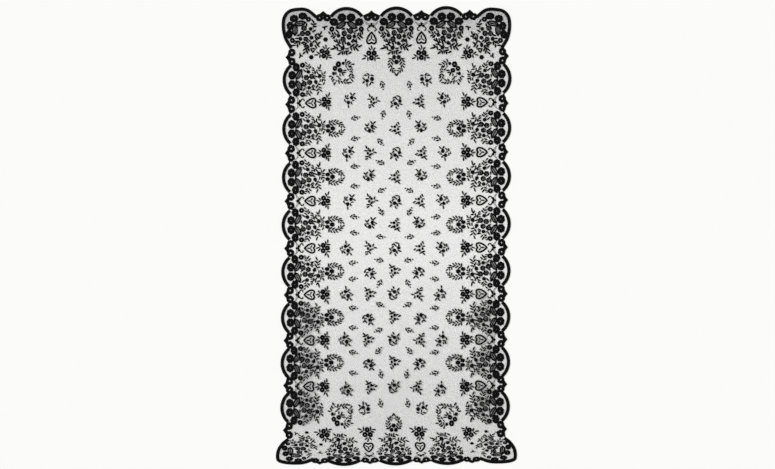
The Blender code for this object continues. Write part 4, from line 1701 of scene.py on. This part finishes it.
class MANTILLA_OT_sprigs(Operator):
    """Strew the sprigs over the middle of the cloth"""

    bl_idname = "mantilla.sprigs"
    bl_label = "Strewn sprigs"

    def execute(self, context):
        kit = Kit(["bud", "leaflet"], context.scene)
        patterns = {}
        for kind, chart in SPRIGS.items():
            patterns[kind] = worked(kind, chart, kit, full=SMALL_FULLNESS if kind == "small" else 1.0)
        parts = [set_down(patterns[kind], spot) for kind, spot in self.places()]
        hand_over_motifs("sprigs", parts)
        discard(patterns.values())
        kit.put_away()
        return {"FINISHED"}

    def spot(self, x, y, turn=0.0, flip=1, shift=0.0, turned=False):
        """A sprig's frame, turned half round below the turning line or where asked, with its shift."""
        half = -1 if turned or y < TURNING_LINE else 1
        middle = TURNED_X if half < 0 else MIDDLE_X + MIDDLE_LEAN * y
        along = Vector((cos(turn), sin(turn))) * flip * half
        inward = Vector((sin(turn), -cos(turn))) * half
        return Spot(Vector((x + middle + shift * half, y)), along, inward, PLAIN_BEND)

    def places(self):
        """Each sprig's kind and frame. The first sprig of the last upright row is already turned over."""
        found = []
        for row in PICOT_ROWS:
            names = ["outer_left", "inner_left", "middle", "inner_right", "outer_right"]
            if row.y < TURNING_LINE:
                names.reverse()
            first_turned = row == LAST_UPRIGHT_ROW
            if first_turned:
                names[0] = "outer_right"
            outer_y = row.y + row.lift
            xs, ys = (-row.far, -row.near, 0.0, row.near, row.far), (outer_y, row.y, row.y, row.y, outer_y)
            for index, (name, x, y) in enumerate(zip(names, xs, ys)):
                found.append((name, self.spot(x, y, turned=first_turned and index == 0)))
            found += self.small_ones(row, row.near * SMALL_INNER_SHARE, turned_over=True)
        for row in SCALLOP_ROWS:
            names = ["between_left", "between_right"]
            if row.y < TURNING_LINE:
                names.reverse()
            for name, x in zip(names, (-row.near, row.near)):
                found.append((name, self.spot(x, row.y)))
            found.append(("inner_right", self.spot(0.0, row.y, shift=SCALLOP_MIDDLE_X)))
            found += self.small_ones(row, SMALL_OUTER)
        for y, small_y in zip(END_SPRIG_ROWS, END_SMALL_ROWS):
            half = -1 if y < TURNING_LINE else 1
            for side in (-1, 1):
                found.append(("end", self.spot(side * END_SPRIG_X, y, flip=-side * half)))
                small_spot = self.spot(side * END_SMALL_X, small_y, radians(-90), shift=SMALL_X)
                found.append(("small", small_spot))
        return found

    def small_ones(self, row, x, turned_over=False):
        """The small sprigs over and under a row, the second of each two mirrored, and the under ones turned
        over where asked."""
        half = -1 if row.y < TURNING_LINE else 1
        found = []
        for y, turn, flip in (
            (row.over, row.over_turn, 1),
            (row.under, row.under_turn, -1 if turned_over else 1),
        ):
            if y is None:
                continue
            for side in (-1, 1):
                spot = self.spot(side * half * x, y, radians(-turn * side), -side * flip, SMALL_X)
                found.append(("small", spot))
        return found


class MANTILLA_OT_stage(Operator):
    """Set the pale surface, the soft light and the camera straight above"""

    bl_idname = "mantilla.stage"
    bl_label = "Surface, light and camera"

    def execute(self, context):
        stage = context.scene.mantilla_stage
        self.lay_floor(stage)
        self.light(stage)
        self.set_camera(stage)
        return {"FINISHED"}

    def lay_floor(self, stage):
        """A wide pale surface just under the cloth."""
        clear_selection()
        bpy.ops.mesh.primitive_plane_add(size=FLOOR_SIZE, location=(0, 0, FLOOR_LEVEL))
        floor = bpy.context.object
        floor.name = "floor"
        floor.data.materials.append(floor_finish(stage.floor_colour))

    def light(self, stage):
        """White light all round, and one broad soft light."""
        world = bpy.data.worlds.new("studio")
        world.use_nodes = True
        background = world.node_tree.nodes["Background"]
        background.inputs["Strength"].default_value = stage.sky_light
        background.inputs["Color"].default_value = (1.0, 1.0, 1.0, 1.0)
        bpy.context.scene.world = world
        bpy.ops.object.light_add(type="SUN", location=(-3.0, 1.0, 4.0))
        key = bpy.context.object
        key.name = "key"
        key.data.energy = stage.key_light
        key.data.angle = KEY_ANGLE
        key.rotation_euler = KEY_FROM.to_track_quat("Z", "Y").to_euler()

    def set_camera(self, stage):
        """A camera straight above that frames what the photograph does."""
        bpy.ops.object.camera_add(location=(*FRAME_CENTRE, stage.camera_height), rotation=(0, 0, 0))
        camera = bpy.context.object
        camera.data.sensor_width = SENSOR_WIDTH
        camera.data.lens = SENSOR_WIDTH * stage.camera_height / (PHOTO_WIDTH * PIXEL)
        camera.data.clip_end = 100.0
        bpy.context.scene.camera = camera
        bpy.context.scene.view_settings.view_transform = "Standard"
        bpy.context.scene.view_settings.look = "None"


class MANTILLA_PT_panel(Panel):
    """Lists the steps that build the mantilla"""

    bl_label = "Mantilla"
    bl_idname = "MANTILLA_PT_panel"
    bl_space_type = "VIEW_3D"
    bl_region_type = "UI"
    bl_category = "Mantilla"

    def draw(self, context):
        for step in STEPS:
            self.layout.operator(step.bl_idname)
        for group in ("mantilla_sizes", "mantilla_look", "mantilla_stage"):
            settings = getattr(context.scene, group)
            for name in settings.__annotations__:
                self.layout.prop(settings, name)


STEPS = (
    MANTILLA_OT_stage,
    MANTILLA_OT_net,
    MANTILLA_OT_rim,
    MANTILLA_OT_border,
    MANTILLA_OT_hearts,
    MANTILLA_OT_wreaths,
    MANTILLA_OT_sprigs,
)
CLASSES = (MantillaSizes, MantillaLook, MantillaStage, *STEPS, MANTILLA_PT_panel)


def register():
    """Makes the operators, the panel and the settings known to Blender."""
    for cls in CLASSES:
        bpy.utils.register_class(cls)
    bpy.types.Scene.mantilla_sizes = PointerProperty(type=MantillaSizes)
    bpy.types.Scene.mantilla_look = PointerProperty(type=MantillaLook)
    bpy.types.Scene.mantilla_stage = PointerProperty(type=MantillaStage)


def unregister():
    """Takes back what register did."""
    del bpy.types.Scene.mantilla_sizes, bpy.types.Scene.mantilla_look, bpy.types.Scene.mantilla_stage
    for cls in reversed(CLASSES):
        bpy.utils.unregister_class(cls)


def main():
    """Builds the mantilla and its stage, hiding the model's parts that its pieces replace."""
    register()
    bpy.ops.mantilla.stage()
    bpy.ops.mantilla.net()
    bpy.ops.mantilla.rim()
    bpy.ops.mantilla.border()
    bpy.ops.mantilla.hearts()
    bpy.ops.mantilla.wreaths()
    bpy.ops.mantilla.sprigs()


if __name__ == "__main__":
    main()
